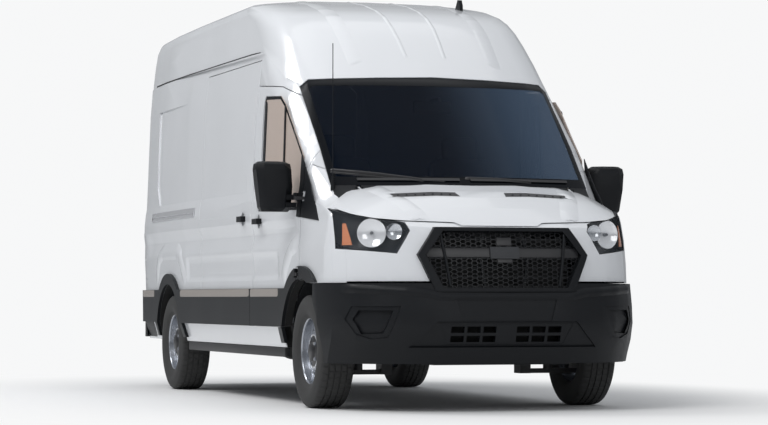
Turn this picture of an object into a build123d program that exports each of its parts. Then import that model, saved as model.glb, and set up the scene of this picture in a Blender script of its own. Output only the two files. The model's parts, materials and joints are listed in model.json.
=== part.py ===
"""High-roof, long-wheelbase panel van, built as separate panels and working pieces.

Frame: millimetres, +Z up, origin on the ground under the middle of the van.
The nose points along -Y and the vehicle's left side is +X.
Stations are distances behind the foremost point of the front bumper.
"""
from build123d import *
from functools import lru_cache
from math import atan, cos, degrees, hypot, pi, radians, sin, tan
import os

# ---------------------------------------------------------------- driving dimensions
overall_length = 5981.0
front_overhang = 1023.0
wheelbase = 3750.0
roof_height = 2778.0
gutter_height = 2345.0
sill_bottom = 372.0
door_bottom = 504.0
cladding_top = 752.0
cladding_proud = 24.0
body_wall = 50.0
nose_wall = 24.0
moving_gap = 6.0
seat_gap = 0.3

track_front = 1732.0
track_rear = 1747.0
tyre_radius = 356.0
tyre_width = 235.0
rim_radius = 203.2
rim_lip_radius = 222.0
rim_width = 178.0
rim_offset = 60.0
rim_thickness = 5.0
centre_bore_radius = 32.55
stud_circle_radius = 80.0
stud_count = 5
stud_hole_radius = 7.5
hand_hole_count = 15
tyre_corners = 48
wheel_corners = 48
arch_radius_front = 455.0
arch_radius_rear = 437.0
arch_trim_width = 80.0
kingpin_x = 866.0
strut_x = 636.0
liner_wall = 6.0
front_liner_reach = 560.0
rear_liner_reach = 690.0

door_front = 1110.0
door_rear = 2250.0
door_hinge_x = 1026.0
hinge_radius = 9.0
hinge_length = 46.0
door_hinge_station = 1105.0
door_hinge_heights = (850.0, 1330.0)
rear_hinge_x = 812.0
rear_hinge_proud = 14.0
rear_hinge_heights = (850.0, 1500.0, 2250.0)
slide_door_width = 1490.0
slide_door_top = 2292.0
recess_bottom = 1400.0
recess_top = 2130.0
recess_depth = 9.0
glass_thickness = 6.0

screen_half_width = 858.0
screen_top = 2131.0
hood_hinge_station = 800.0
hood_hinge_height = 1370.0

floor_height = 700.0
floor_thickness = 28.0
load_floor_step = 8.0
floor_front = 1130.0
rail_x = 470.0
rail_width = 80.0
rail_height = 120.0
rear_door_half_width = 800.0
rear_door_bottom = 640.0
rear_door_top = 2560.0
rear_face_inset = 76.0
rear_lean = 1.0
rear_corner = 90.0

# ---------------------------------------------------------------- derived places
nose_y = -overall_length / 2
front_axle = front_overhang
rear_axle = front_axle + wheelbase
slide_rear = door_rear + slide_door_width
tail = overall_length
rail_top = floor_height - floor_thickness
rail_bottom = rail_top - rail_height


def at(station):
    """Y of a station measured behind the foremost point of the front bumper."""
    return nose_y + station


def reading(value, table):
    """Straight-line reading of a table of (place, amount) pairs."""
    if value <= table[0][0]:
        return table[0][1]
    for (a, va), (b, vb) in zip(table, table[1:]):
        if value <= b:
            return va + (vb - va) * (value - a) / (b - a)
    return table[-1][1]


# ---------------------------------------------------------------- body surfaces
# Half outline of the body across the van: stretches of (half width, height).
SIDE_OUTLINE = [
    ("line", [(962, sill_bottom), (1000, door_bottom)]),
    ("line", [(1000, door_bottom), (1003, cladding_top)]),
    ("curve", [(1003, cladding_top), (1006, 860), (1013, 1000), (1009, 1105)]),
    ("curve", [(1009, 1105), (1016, 1150), (1022, 1190)]),
    ("curve", [(1022, 1190), (1021, 1260), (1013, 1340)]),
    ("line", [(1013, 1340), (1002, recess_bottom)]),
    ("curve", [(1002, recess_bottom), (991, 1760), (976, recess_top), (961, gutter_height - 8)]),
    ("line", [(961, gutter_height - 8), (950, gutter_height + 8)]),
    ("curve", [(950, gutter_height + 8), (939, 2500), (920, 2620), (893, 2684), (835, 2724)]),
]
CROWN = [(835, 2724), (450, 2763), (0, roof_height)]
# How strongly the cab narrows towards the nose at each height.
NARROWING = [(372, 4), (800, 6), (1100, 22), (1237, 46), (1400, 46), (1700, 62), (2100, 66), (2400, 80), (2778, 95)]
narrow_start = 2300.0
narrow_reach = 1300.0
tail_taper_start = -473.0
tail_narrowing = 60.0


def narrowing(station, height):
    """Loss of half width ahead of the doors' rear edge and towards the tail."""
    ahead = max(0.0, (narrow_start - station) / narrow_reach) ** 2
    behind_axle = max(0.0, (station - rear_axle - tail_taper_start) / (tail - rear_axle - tail_taper_start)) ** 2
    return ahead * reading(height, NARROWING) + behind_axle * tail_narrowing


def half_width(station, height):
    """Half width of the body side at a station and height, read along straight chords."""
    points = [(z, x) for _, stretch in SIDE_OUTLINE for x, z in stretch]
    return reading(height, points) - narrowing(station, height)


def traced(points, pattern, step=14.0):
    """Straight edges along a spline through points, divided like the pattern so that every section matches."""
    lengths = [0.0]
    for a, b in zip(pattern, pattern[1:]):
        lengths.append(lengths[-1] + hypot(b[0] - a[0], b[1] - a[1]))
    places = [run / lengths[-1] for run in lengths]
    model = Edge.make_spline([Vector(x, z) for x, z in pattern], parameters=places)
    curve = Edge.make_spline(points, parameters=places)
    stops = [0.0]
    for low, high in zip(places, places[1:]):
        turning = (model % low).get_angle(model % high)
        pieces = max(1, round(turning / step))
        stops += [low + (high - low) * (n + 1) / pieces for n in range(pieces)]
    corners = [curve @ stop for stop in stops]
    return [Edge.make_line(a, b) for a, b in zip(corners, corners[1:])]


def both_sides(half):
    """A half outline of (across, value) pairs, repeated on the other side of the middle."""
    return [(-x, v) for x, v in reversed(half[1:])] + half


def section(station, inset):
    """Closed outline across the van, moved inwards by inset."""
    def place(x, z):
        drop = inset if z > gutter_height + 10 else 0.0
        return Vector(max(x - narrowing(station, z) - inset, 1.0), at(station), z - drop)
    side = []
    for kind, stretch in SIDE_OUTLINE:
        points = [place(x, z) for x, z in stretch]
        side += [Edge.make_line(*points)] if kind == "line" else traced(points, stretch)
    crown = [place(x, z) if x else Vector(0, at(station), z - inset) for x, z in CROWN]
    crown += [Vector(-p.X, p.Y, p.Z) for p in reversed(crown[:-1])]
    crown_pattern = list(reversed(both_sides(list(reversed(CROWN)))))
    other = [edge.mirror(Plane.YZ) for edge in side]
    foot = side[0] @ 0
    floor_line = Edge.make_line(Vector(-foot.X, foot.Y, foot.Z), foot)
    return Wire(side + traced(crown, crown_pattern, 5.0) + list(reversed(other)) + [floor_line])


BODY_STATIONS = [-60, 600, 1200, 1750, narrow_start, rear_axle + tail_taper_start, rear_axle + 370, tail + 40]


@lru_cache
def body_tube(inset):
    """The body side and roof surface as one long solid."""
    return Solid.make_loft([section(s, inset) for s in BODY_STATIONS], ruled=True)


def plan_stack(levels, plan, back, shift, width_at=None):
    """Loft of plan outlines: each level is (height, station on the centre line)."""
    wires = []
    for height, station in levels:
        scale = reading(height, width_at) if width_at else 1.0
        outline = both_sides(plan)
        points = [Vector(x * scale, at(station + shift + sweep), height) for x, sweep in outline]
        front = traced(points, outline)
        start, end = front[-1] @ 1, front[0] @ 0
        corner_a = Vector(start.X + 20, at(back), height)
        corner_b = Vector(end.X - 20, at(back), height)
        wires.append(Wire(front + [Edge.make_line(start, corner_a), Edge.make_line(corner_a, corner_b),
                                   Edge.make_line(corner_b, end)]))
    return Solid.make_loft(wires, ruled=True)


NOSE_PLAN = [(0, 0), (400, 8), (570, 42), (690, 92), (800, 178), (890, 290), (960, 415), (1040, 660)]
NOSE_LEVELS = [(200, 50), (700, 50), (900, 66), (1050, 98), (1170, 148), (1300, 235), (1500, 390)]
SCREEN_PLAN = [(0, 0), (400, 32), (700, 112), (840, 184), (905, 252), (955, 352), (1010, 560)]
SCREEN_LEVELS = [(1180, 480), (1660, 955), (screen_top, 1450), (2270, 1590), (2400, 1740), (2500, 1875),
                 (2580, 2020), (2640, 2190), (2700, 2440), (2760, 2800), (2820, 3300)]
SCREEN_WIDTH = [(1180, 1.0), (1628, 1.0), (2150, 0.945), (2571, 0.90), (2820, 0.90)]


@lru_cache
def nose_block(shift):
    """Everything behind the nose surface."""
    return plan_stack(NOSE_LEVELS, NOSE_PLAN, tail + 500, shift)


@lru_cache
def screen_block(shift):
    """Everything behind the windscreen and the front cap of the roof."""
    return plan_stack(SCREEN_LEVELS, SCREEN_PLAN, tail + 500, shift, SCREEN_WIDTH)


HOOD_RISE = [(-100, 960), (178, 1150), (300, 1240), (420, 1305), (545, 1354), (690, 1399), (900, 1450), (1300, 1520)]
HOOD_FALL = [(0, 0), (300, 4), (590, 25), (750, 60), (850, 98), (941, 149), (1000, 190), (1100, 270)]


@lru_cache
def hood_block(drop):
    """Everything below the hood surface, ahead of the cab."""
    wires = []
    for station, height in HOOD_RISE:
        outline = both_sides(HOOD_FALL)
        top = traced([Vector(x, at(station), height - fall - drop) for x, fall in outline], outline)
        start, end = top[-1] @ 1, top[0] @ 0
        low_a, low_b = Vector(start.X, at(station), 100), Vector(end.X, at(station), 100)
        wires.append(Wire(top + [Edge.make_line(start, low_a), Edge.make_line(low_a, low_b),
                                 Edge.make_line(low_b, end)]))
    return Solid.make_loft(wires, ruled=True)


@lru_cache
def tail_block(inset):
    """Everything ahead of the rear face, with rounded rear corners."""
    wires = []
    for z in (100, door_bottom, rear_door_bottom, 1190, recess_bottom, recess_top, gutter_height, 2500, 2620, 2684,
              2724, 2950):
        lean = max(0.0, z - rear_door_bottom) * tan(radians(rear_lean))
        face = tail - rear_face_inset - inset - lean
        side = half_width(tail - rear_face_inset, min(z, 2724)) - inset
        corner = max(rear_corner - inset, 25.0)
        arc = [(side - corner + 4 + corner * cos(radians(turn)), face - corner + corner * sin(radians(turn)))
               for turn in (2, 18, 36, 54, 72, 90)]
        outline = [(1400, -1500), (1400, face - corner)] + arc
        points = outline + [(-x, station) for x, station in reversed(outline)]
        wires.append(Wire.make_polygon([Vector(x, at(station), z) for x, station in points], close=True))
    return Solid.make_loft(wires, ruled=True)


@lru_cache
def cab_form(inset):
    """Outer shape from the doors backwards, with the windscreen and roof cap, moved inwards by inset."""
    lower_front = door_front - 28
    lower_cab = Pos(0, at((lower_front + tail + 100) / 2), 725) * Box(2400, tail + 100 - lower_front, 1050)
    cab = (body_tube(inset) & screen_block(inset)) + (body_tube(inset) & lower_cab)
    return cab & tail_block(inset)


@lru_cache
def nose_form(inset):
    """Outer shape ahead of the doors, moved inwards by inset."""
    ahead = Pos(0, at(door_front) - 1000, 1000) * Box(2600, 2000, 2200)
    nose = body_tube(inset) & nose_block(inset) & hood_block(inset) & ahead
    pillars = body_tube(inset) & screen_block(inset) & ahead
    return (nose + pillars).solids().sort_by(SortBy.VOLUME)[-1]


# ---------------------------------------------------------------- small helpers
def side_prism(points, x_from, x_to):
    """Prism across the van from a side outline of (station, height) corners."""
    outline = Polyline(*[(at(s), z) for s, z in points], close=True)
    face = Plane.YZ.offset(x_from) * make_face(outline)
    return extrude(face, amount=x_to - x_from)


def front_prism(points, station_from, station_to):
    """Prism along the van from a front outline of (x, height) corners."""
    outline = Polyline(*[(x, z) for x, z in points], close=True)
    face = Plane.XZ.offset(-at(station_from)) * make_face(outline)
    return extrude(face, amount=-(station_to - station_from))


def plan_prism(points, z_from, z_to):
    """Upright prism from a plan outline of (x, station) corners."""
    outline = Polyline(*[(x, at(s)) for x, s in points], close=True)
    return extrude(Plane.XY.offset(z_from) * make_face(outline), amount=z_to - z_from)


def cross_cylinder(radius, station, height, x_from, x_to):
    """Cylinder across the van."""
    middle = Pos((x_from + x_to) / 2, at(station), height)
    return middle * Rot(Y=90) * Cylinder(radius, abs(x_to - x_from))


def block(x_from, x_to, s_from, s_to, z_from, z_to):
    """Box between two corners given as x, station and height."""
    size = (x_to - x_from, s_to - s_from, z_to - z_from)
    centre = ((x_from + x_to) / 2, at((s_from + s_to) / 2), (z_from + z_to) / 2)
    return Pos(*centre) * Box(*size)


def grown(points, amount):
    """The polygon with every side moved outwards by amount."""
    area = sum(a[0] * b[1] - b[0] * a[1] for a, b in zip(points, points[1:] + points[:1]))
    turn = 1.0 if area > 0 else -1.0
    moved = []
    for before, here, after in zip(points[-1:] + points[:-1], points, points[1:] + points[:1]):
        normals = []
        for a, b in ((before, here), (here, after)):
            run = hypot(b[0] - a[0], b[1] - a[1])
            normals.append((turn * (b[1] - a[1]) / run, -turn * (b[0] - a[0]) / run))
        (ax, ay), (bx, by) = normals
        share = amount / (1 + ax * bx + ay * by)
        moved.append((here[0] + (ax + bx) * share, here[1] + (ay + by) * share))
    return moved


plug_slope = tan(radians(5))
plug_reference = 1022.0


def plug(points, grow):
    """Tapered cutter from outside the body side to well inside it, wider outside."""
    wires = []
    for x in (plug_reference + 200, plug_reference - 330):
        corners = grown(points, grow + (x - plug_reference) * plug_slope)
        wires.append(Wire.make_polygon([Vector(x, at(s), z) for s, z in corners], close=True))
    return Solid.make_loft(wires, ruled=True)


def mirrored(shape):
    """The same piece on the other side of the van."""
    return mirror(shape, about=Plane.YZ)


def biggest(shape):
    """The largest solid of a shape, without slivers cut loose."""
    return shape.solids().sort_by(SortBy.VOLUME)[-1]


def kept(shape, least=2000.0):
    """All solids of a shape above a least volume."""
    return [s for s in shape.solids() if s.volume > least]


def write(name, *pieces):
    """Write one node as STEP from one or more solids."""
    solids = []
    for piece in pieces:
        solids += piece if isinstance(piece, list) else list(piece.solids())
    shape = solids[0] if len(solids) == 1 else Compound(children=solids)
    export_step(shape, f"parts/{name}.step")


# ---------------------------------------------------------------- panel outlines
# Side outlines are (station, height) corners.
FRONT_DOOR = [(door_front, door_bottom), (door_front, 1640), (1305, 1812), (1555, 2018), (1780, 2082),
              (door_rear, 2116), (door_rear, door_bottom)]
SLIDE_DOOR = [(door_rear, door_bottom), (door_rear, slide_door_top), (slide_rear, slide_door_top),
              (slide_rear, door_bottom)]
WINDOW = [(1192, 1246), (1192, 1592), (1600, 1948), (1705, 2010), (2040, 2028), (2068, 1996), (2088, 1262)]
HOOD_LINE = [(40, 1124), (150, 1124), (183, 1146), (610, 1239), (700, 1290), (878, 1412)]
ROOF_LINE = [(1200, 2088), (1650, 2088), (1800, 2140), (door_rear, gutter_height), (tail + 100, gutter_height)]
PILLAR_FOOT = [(878, 1412), (900, 1466), (door_front - moving_gap, 1536)]
SAIL = [(752, 1168), (1187, 1600), (1187, 1205)]
# Front outlines are (x, height) corners.
SCREEN = [(-screen_half_width, 1388), (-screen_half_width, 2064), (-800, 2114), (0, 2133), (800, 2114),
          (screen_half_width, 2064), (screen_half_width, 1388)]
GRILLE = [(-430, 1117), (-544, 950), (-444, 727), (444, 727), (544, 950), (430, 1117)]
HEADLAMP = [(569, 1094), (589, 1144), (943, 1240), (946, 988), (652, 956)]


def ring(profile, corners):
    """Many-sided turned solid along X through (x, radius) rings."""
    wires = [Wire.make_polygon([Vector(x, radius * cos(2 * pi * n / corners), radius * sin(2 * pi * n / corners))
                                for n in range(corners)], close=True) for x, radius in profile]
    return Solid.make_loft(wires, ruled=True)


def tyre():
    """Tyre about the origin, axle along X."""
    half = tyre_width / 2
    bead_half = rim_width / 2 - rim_thickness - seat_gap
    lip = rim_lip_radius + 12
    shell = ring([(-half, tyre_radius - 26), (26 - half, tyre_radius), (half - 26, tyre_radius),
                  (half, tyre_radius - 26)], tyre_corners)
    shell = shell - ring([(-half - 5, rim_radius + 1), (half + 5, rim_radius + 1)], tyre_corners)
    for side in (1, -1):
        shell = shell - ring([(side * bead_half, lip), (side * (half + 5), lip)], tyre_corners)
    return shell


def wheel():
    """Pressed steel wheel: rim with lips and a dished disc, outer side towards +X."""
    half = rim_width / 2
    inner = rim_radius - rim_thickness
    face = rim_offset
    step = face - 26
    rim = ring([(-half, rim_lip_radius), (half, rim_lip_radius)], wheel_corners)
    rim = rim - (ring([(rim_thickness - half, rim_lip_radius + 9), (half - rim_thickness, rim_lip_radius + 9)], wheel_corners)
                 - ring([(-half, rim_radius), (half, rim_radius)], wheel_corners))
    rim = rim - ring([(-half - 5, inner), (half + 5, inner)], wheel_corners)
    disc = ring([(step - 6, inner + 2), (step, inner + 2)], wheel_corners)
    dome = ring([(step - 6, 122), (step, 122), (face, 106)], 30)
    hollow = ring([(step - 8, 112), (step - 6, 112), (face - 10, 98)], 30)
    solid = rim + disc + dome - hollow - ring([(-half, centre_bore_radius + 1), (half, centre_bore_radius + 1)], 24)
    hole = Wire.make_polygon([Vector(0, y, z) for y, z in ((-8, 144), (8, 144), (14, 172), (-14, 172))], close=True)
    cut = extrude(Pos(step - 20, 0, 0) * make_face(hole), amount=40, dir=(1, 0, 0))
    holes = [Rot(X=360 / hand_hole_count * n) * cut for n in range(hand_hole_count)]
    studs = [Rot(X=360 / stud_count * n) * (Pos(face - 5, 0, stud_circle_radius) * Rot(Y=90)
                                            * Cylinder(stud_hole_radius, 30)) for n in range(stud_count)]
    return solid - holes - studs


def road_wheel(track, axle, side):
    """Tyre and wheel placed at one corner."""
    place = Pos(side * track / 2, at(axle), tyre_radius)
    turn = Rot(Z=0 if side > 0 else 180)
    return place * turn * tyre(), place * turn * wheel()


def door_window(door):
    """Cut a glazed opening into a front door; returns the door and its glass."""
    recess = side_prism(WINDOW, 700, 1200)
    through = side_prism(grown(WINDOW, -26), 700, 1200)
    door = door - (recess - body_tube(16 + seat_gap)) - through
    glass = (body_tube(10) - body_tube(16)) & side_prism(grown(WINDOW, -3), 700, 1200)
    return biggest(door), biggest(glass)


def hinge_pair(x, station, height, lean=0.0):
    """Stacked hinge knuckles on an upright axis: body knuckle below, door knuckle above."""
    stub = Cylinder(hinge_radius, hinge_length / 2 - seat_gap)
    place = Pos(x, at(station), height) * Rot(X=lean)
    return place * Pos(0, 0, -hinge_length / 4) * stub, place * Pos(0, 0, hinge_length / 4) * stub


def build_body():
    """Body shells: sides, roof, doors, fenders, hood and glass."""
    outer = cab_form(0)
    recess_corners = [(door_rear + 170, recess_bottom), (door_rear + 170, recess_top), (rear_axle + 560, recess_top),
                      (rear_axle + 560, recess_bottom + 150), (rear_axle + 430, recess_bottom)]
    recess = side_prism(recess_corners, 700, 1300) - body_tube(recess_depth)
    outer = outer - recess - mirrored(recess)
    shell = outer - cab_form(body_wall)

    glass_cut = front_prism(SCREEN, 300, 2000) - screen_block(1 + glass_thickness + seat_gap)
    glass_through = front_prism(grown(SCREEN, -34), 300, 2100)
    shell = shell - glass_cut - glass_through
    windscreen = (screen_block(1) & front_prism(grown(SCREEN, -4), 300, 2000)) - screen_block(1 + glass_thickness)
    write("windscreen", biggest(windscreen))

    rear_door = [(moving_gap, rear_door_bottom), (moving_gap, rear_door_top), (560, rear_door_top),
                 (rear_door_half_width - 10, rear_door_top - 200), (rear_door_half_width, rear_door_bottom)]
    rear_edge = grown(rear_door, moving_gap)[2:]
    rear_open = [(-x, z) for x, z in reversed(rear_edge)] + rear_edge
    rear_cut = front_prism(rear_open, tail - 400, tail + 200)

    half = block(0, 1400, -100, tail + 100, 100, 3000)
    roof_region = side_prism(ROOF_LINE + [(tail + 100, 3000), (1200, 3000)], -1400, 1400)
    roof = (shell & roof_region) - rear_cut
    write("roof", biggest(roof))

    side_region = side_prism([(door_front, 300)] + list(reversed(PILLAR_FOOT))[0:1] + [(900, 1468), (880, 1420),
                             (880, 2086)] + [(s, z - seat_gap) for s, z in ROOF_LINE[1:]] + [(tail + 100, 300)],
                             0, 1400)
    side = (shell & side_region) - rear_cut
    front_arch = cross_cylinder(arch_radius_front, front_axle, tyre_radius, 300, 1300)
    rear_arch = cross_cylinder(arch_radius_rear, rear_axle, tyre_radius, 300, 1300)
    door_open = plug(FRONT_DOOR, moving_gap / 2)
    sill_end = side_prism([(1000, 300), (1000, door_bottom + 30), (1484, door_bottom + 30), (1520, sill_bottom),
                           (1520, 300)], 0, 1400)
    side = side - door_open - rear_arch - front_arch - sill_end
    lamp_prism = front_prism([(838, 985), (838, 1500), (1100, 1500), (1100, 985)], tail - 260, tail + 100)
    lamp = shell & lamp_prism
    side = side - front_prism([(838 - seat_gap, 985 - seat_gap), (838 - seat_gap, 1500 + seat_gap),
                               (1100, 1500 + seat_gap), (1100, 985 - seat_gap)], tail - 260 - seat_gap, tail + 100)
    lamp = biggest(lamp)
    write("tail_lamps", lamp, mirrored(lamp))

    inner = cab_form(body_wall + seat_gap)
    post_zone = block(0, 1400, door_rear - 50, door_rear + 50, 400, gutter_height - 20)
    post = inner & post_zone
    post = post - Pos(-55, 0, 0) * inner
    front_half = block(0, 1400, door_rear - 60, door_rear, door_bottom - 10, 2124)
    post = post - (front_half - Pos(-moving_gap - 1, 0, 0) * inner)
    post = post & side_region
    ends = (shell & (block(0, 1400, door_rear - 50, door_rear + 50, 2300, gutter_height - 20)
                     + block(0, 1400, door_rear - 50, door_rear + 50, 400, door_bottom - 8)))
    ends = Pos(-20, 0, 0) * ends & side_region
    left = biggest(side + post + ends)
    write("side_left", left)
    slide_open = plug(SLIDE_DOOR, 2.5)
    right_half = biggest((side - slide_open) + post + ends)
    write("side_right", mirrored(right_half))
    slide = ((shell & half) & plug(SLIDE_DOOR, -2.5)) - rear_arch
    write("sliding_door", mirrored(biggest(slide)))

    door = (shell & half & plug(FRONT_DOOR, -moving_gap / 2)) - front_arch
    door, door_glass = door_window(biggest(door))
    write("door_left", door)
    write("door_right", mirrored(door))
    write("door_left_glass", door_glass)
    write("door_right_glass", mirrored(door_glass))

    rear = shell & front_prism(rear_door, tail - 400, tail + 200)
    for low, high in ((760, 1330), (1450, 2330)):
        stamp = front_prism([(90, low), (90, high), (690, high), (690, low)], tail - 200, tail + 200)
        rear = rear - (stamp - tail_block(8))
    rear = biggest(rear)
    write("rear_door_left", rear)
    write("rear_door_right", mirrored(rear))

    thin = nose_form(0) - nose_form(nose_wall)
    hood_region = side_prism(grown(HOOD_LINE + [(878, 1800), (40, 1800)], -moving_gap / 2),
                             -1300, 1300)
    hood = biggest((thin & hood_region) - screen_block(-24))
    cowl_zone = block(-850, 850, 600, 900, 1200, 1391.7)
    cowl = ((hood_block(30) & cowl_zone) - hood_block(46)) & screen_block(-90)
    upright = ((screen_block(0.7) & cowl_zone) - screen_block(26)) - hood_block(60)
    cowl = (cowl - screen_block(0.7)) + upright
    hinge_s, hinge_z = hood_hinge_station, hood_hinge_height
    for side in (1, -1):
        leaf = side_prism([(hinge_s + 6, hinge_z - 12), (hinge_s + 6, hinge_z + 12), (hinge_s - 34, hinge_z + 1),
                           (hinge_s - 62, hinge_z - 8), (hinge_s - 62, hinge_z - 26), (hinge_s - 32, hinge_z - 19)],
                          side * 700 - 6, side * 700 + 6)
        boss = cross_cylinder(12, hinge_s, hinge_z, side * 700 - 6, side * 700 + 6)
        hood = hood + leaf + boss - cross_cylinder(6 + seat_gap, hinge_s, hinge_z, side * 700 - 9, side * 700 + 9)
        cowl = cowl - block(side * 700 - 13, side * 700 + 13, hinge_s - 70, hinge_s + 40, hinge_z - 40, 1400)
        cowl += cross_cylinder(6, hinge_s, hinge_z, side * 700 - 22, side * 700 + 22)
        for plate in (-25, 13):
            cowl += block(side * 700 + plate, side * 700 + plate + 12, hinge_s - 26, hinge_s + 9, hinge_z - 22,
                          hinge_z + 9)
    vent_plan = [(148, 452), (576, 486), (592, 556), (160, 526)]
    vent_hole = plan_prism(vent_plan, 1200, 1500)
    vent_cut = (vent_hole + mirrored(vent_hole)) - hood_block(9)
    hood = biggest(hood) - (vent_cut & hood_block(-40))
    vent = (plan_prism(grown(vent_plan, -0.5), 1200, 1500) & hood_block(1.5)) - hood_block(9 - seat_gap)
    write("hood", hood)
    write("hood_vents", biggest(vent), mirrored(biggest(vent)))
    write("cowl", biggest(cowl))
    below_hood = side_prism([(-50, 300), (-50, 1124 - moving_gap), (40, 1124 - moving_gap)]
                            + grown(HOOD_LINE + [(878, 1800), (40, 1800)], moving_gap / 2)[1:6]
                            + PILLAR_FOOT[1:2] + [(door_front - moving_gap, 1530), (door_front - moving_gap, 300)],
                            -1400, 1400)
    lamp_hole = front_prism(grown(HEADLAMP, seat_gap), -50, 900)
    fender_zone = block(904.3, 1400, -50, 1200, 782, 1700) + block(850.3, 1400, 690, 1200, 1200, 1700)
    fender = (thin & below_hood & fender_zone) - front_arch - lamp_hole - glass_cut - glass_through
    fender = biggest(fender)
    write("fenders", fender, mirrored(fender))
    grille_hole = front_prism(grown(GRILLE, seat_gap), -50, 900)
    fascia = (thin & below_hood & block(-904, 904, -50, 700, 790, 1400)) - grille_hole - lamp_hole
    fascia = fascia - mirrored(lamp_hole) - block(850, 1400, 689.7, 1200, 1199.7, 1700)
    fascia = fascia - block(-1400, -850, 689.7, 1200, 1199.7, 1700)
    write("nose_panel", kept(fascia))

    bowl = (nose_block(8) & front_prism(HEADLAMP, -50, 900)) - nose_block(90)
    bowl = biggest(bowl & below_hood)
    lens = (nose_block(2) & front_prism(HEADLAMP, -50, 900)) - nose_block(7.7)
    lens = biggest(lens & below_hood)
    write("headlamps", bowl, mirrored(bowl))
    write("headlamp_lenses", lens, mirrored(lens))
    return left


def build_wheels():
    """Tyres and wheels at the four corners."""
    for axle_name, track, axle in (("front", track_front, front_axle), ("rear", track_rear, rear_axle)):
        for side_name, side in (("left", 1), ("right", -1)):
            rubber, steel = road_wheel(track, axle, side)
            write(f"tyre_{axle_name}_{side_name}", rubber)
            write(f"wheel_{axle_name}_{side_name}", steel)


def build_bumpers():
    """Front bumper with its openings, grille, rear bumper and the side mouldings."""
    levels = [(288, 118), (345, 88), (430, 34), (533, 0), (640, 10), (700, 24), (786, 44)]

    def bumper_form(shift):
        plan = [(0, 0), (420, 2), (620, 40), (760, 118), (880, 240), (980, 420), (1024, 600), (1030, 700)]
        return plan_stack(levels, plan, 1200, shift)
    bumper = (bumper_form(0) & block(-1400, 1400, -50, 700, 292, 778)) - bumper_form(60)
    arch = cross_cylinder(arch_radius_front - 4, front_axle, tyre_radius, -1300, 1300)
    bumper = bumper - arch - front_prism(grown(GRILLE, seat_gap), -50, 900)
    chin = front_prism([(-446, 548), (-520, 470), (-600, 392), (600, 392), (520, 470), (446, 548)], -50, 420)
    bumper = bumper - (chin - bumper_form(14))
    plate = front_prism([(-322, 686), (-283, 549), (283, 549), (322, 686)], -50, 300)
    bumper = bumper - (plate - bumper_form(7))
    intake = [(-425, 533), (-370, 409), (370, 409), (425, 533)]
    bumper = bumper - front_prism(intake, -50, 400)
    frame_edge = [(655, 640), (720, 452), (800, 440), (880, 470), (930, 560), (900, 640)]
    fog = [(694, 615), (744, 478), (852, 470), (896, 560), (868, 615)]
    shallow = front_prism(frame_edge, -50, 900) - bumper_form(9)
    fog_cut = front_prism(fog, -50, 900) - bumper_form(34)
    bumper = bumper - shallow - mirrored(shallow) - fog_cut - mirrored(fog_cut)
    tray = block(-430, 430, 125, 420, 285, 306)
    bumper = biggest(bumper)
    write("front_bumper", biggest(bumper + tray))

    bars = (bumper_form(16) & front_prism(grown(intake, -0.3), -50, 400)) - bumper_form(52)
    columns = [(-352, -268), (-250, -166), (-148, -66), (66, 148), (166, 250), (268, 352)]
    slots = [front_prism([(low, z), (low, top), (high, top), (high, z)], -50, 500)
             for low, high in columns for z, top in ((424, 462), (480, 518))]
    bars = bars - slots
    core = [(x - 46 if x > 0 else x + 46, 925 + 0.88 * (z - 925)) for x, z in GRILLE]
    ring = (nose_block(-34) & front_prism(GRILLE, -80, 700)) - front_prism(core, -80, 900)
    ring = ring - nose_block(30)
    mesh = (nose_block(-4) & front_prism(grown(core, 2), -80, 700)) - nose_block(14)
    windows = []

    def edge(z):
        """Half width of the open part of the grille at a height."""
        return reading(z, [(752, 398), (946, 490), (1094, 380)]) - 8
    for low, high in ((764, 810), (820, 866), (876, 924), (1000, 1038), (1048, 1082)):
        for left, right in ((-1.0, -0.34), (-0.3, 0.3), (0.34, 1.0)):
            windows.append(front_prism([(left * edge(low), low), (left * edge(high), high),
                                        (right * edge(high), high), (right * edge(low), low)], -100, 700))
    grille = ring + mesh - windows
    write("grille", biggest(grille), biggest(bars))

    rear = block(-940, 940, tail - 150, tail - 14, 384, 600)
    rear = chamfer(rear.edges().filter_by(Axis.Z).group_by(Axis.Y)[-1], 60)
    step = block(-800, 800, tail - 100, tail - 20, 536, 610)
    rear = rear - step
    for side in (1, -1):
        rear += block(*sorted((side * 800, side * 900)), tail - 100, tail, 560, 625)
    write("rear_bumper", biggest(rear - tail_block(-seat_gap)))

    side_form = body_tube(-cladding_proud)
    skin = body_tube(-seat_gap)
    band = block(0, 1400, front_axle, tail - 120, door_bottom, cladding_top)
    zone = band
    for axle, radius in ((front_axle, arch_radius_front), (rear_axle, arch_radius_rear)):
        arch_ring = cross_cylinder(radius + arch_trim_width, axle, tyre_radius, 0, 1400)
        zone += arch_ring & block(0, 1400, axle - 900, axle + 900, 400, 1300)
    mould = (side_form & zone) - skin
    for axle, radius in ((front_axle, arch_radius_front), (rear_axle, arch_radius_rear)):
        mould = mould - cross_cylinder(radius, axle, tyre_radius, 0, 1400)
    door_mould = mould & plug(FRONT_DOOR, -moving_gap / 2)
    fixed = mould - plug(FRONT_DOOR, moving_gap / 2)
    fixed = fixed - block(0, 1400, -100, front_axle, 300, 784)
    fixed = fixed - [block(990, 1100, door_hinge_station - 44, door_hinge_station + 46, z - 32, z + 32)
                     for z in door_hinge_heights]
    sail = side_prism(SAIL, 600, 1200)
    door_sail = (body_tube(-6) & sail & plug(FRONT_DOOR, -moving_gap / 2)) - skin
    fixed_sail = (body_tube(-6) & sail & block(0, 1400, 600, door_front - moving_gap, 900, 1800)) - skin
    fixed_sail = fixed_sail - [block(940, 1100, door_hinge_station - 44, door_hinge_station + 46, z - 32, z + 32)
                               for z in door_hinge_heights]
    fixed_parts = kept(fixed, 20000) + kept(fixed_sail, 20000)
    write("side_mouldings", fixed_parts + [mirrored(p) for p in fixed_parts])
    return door_mould, door_sail


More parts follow.
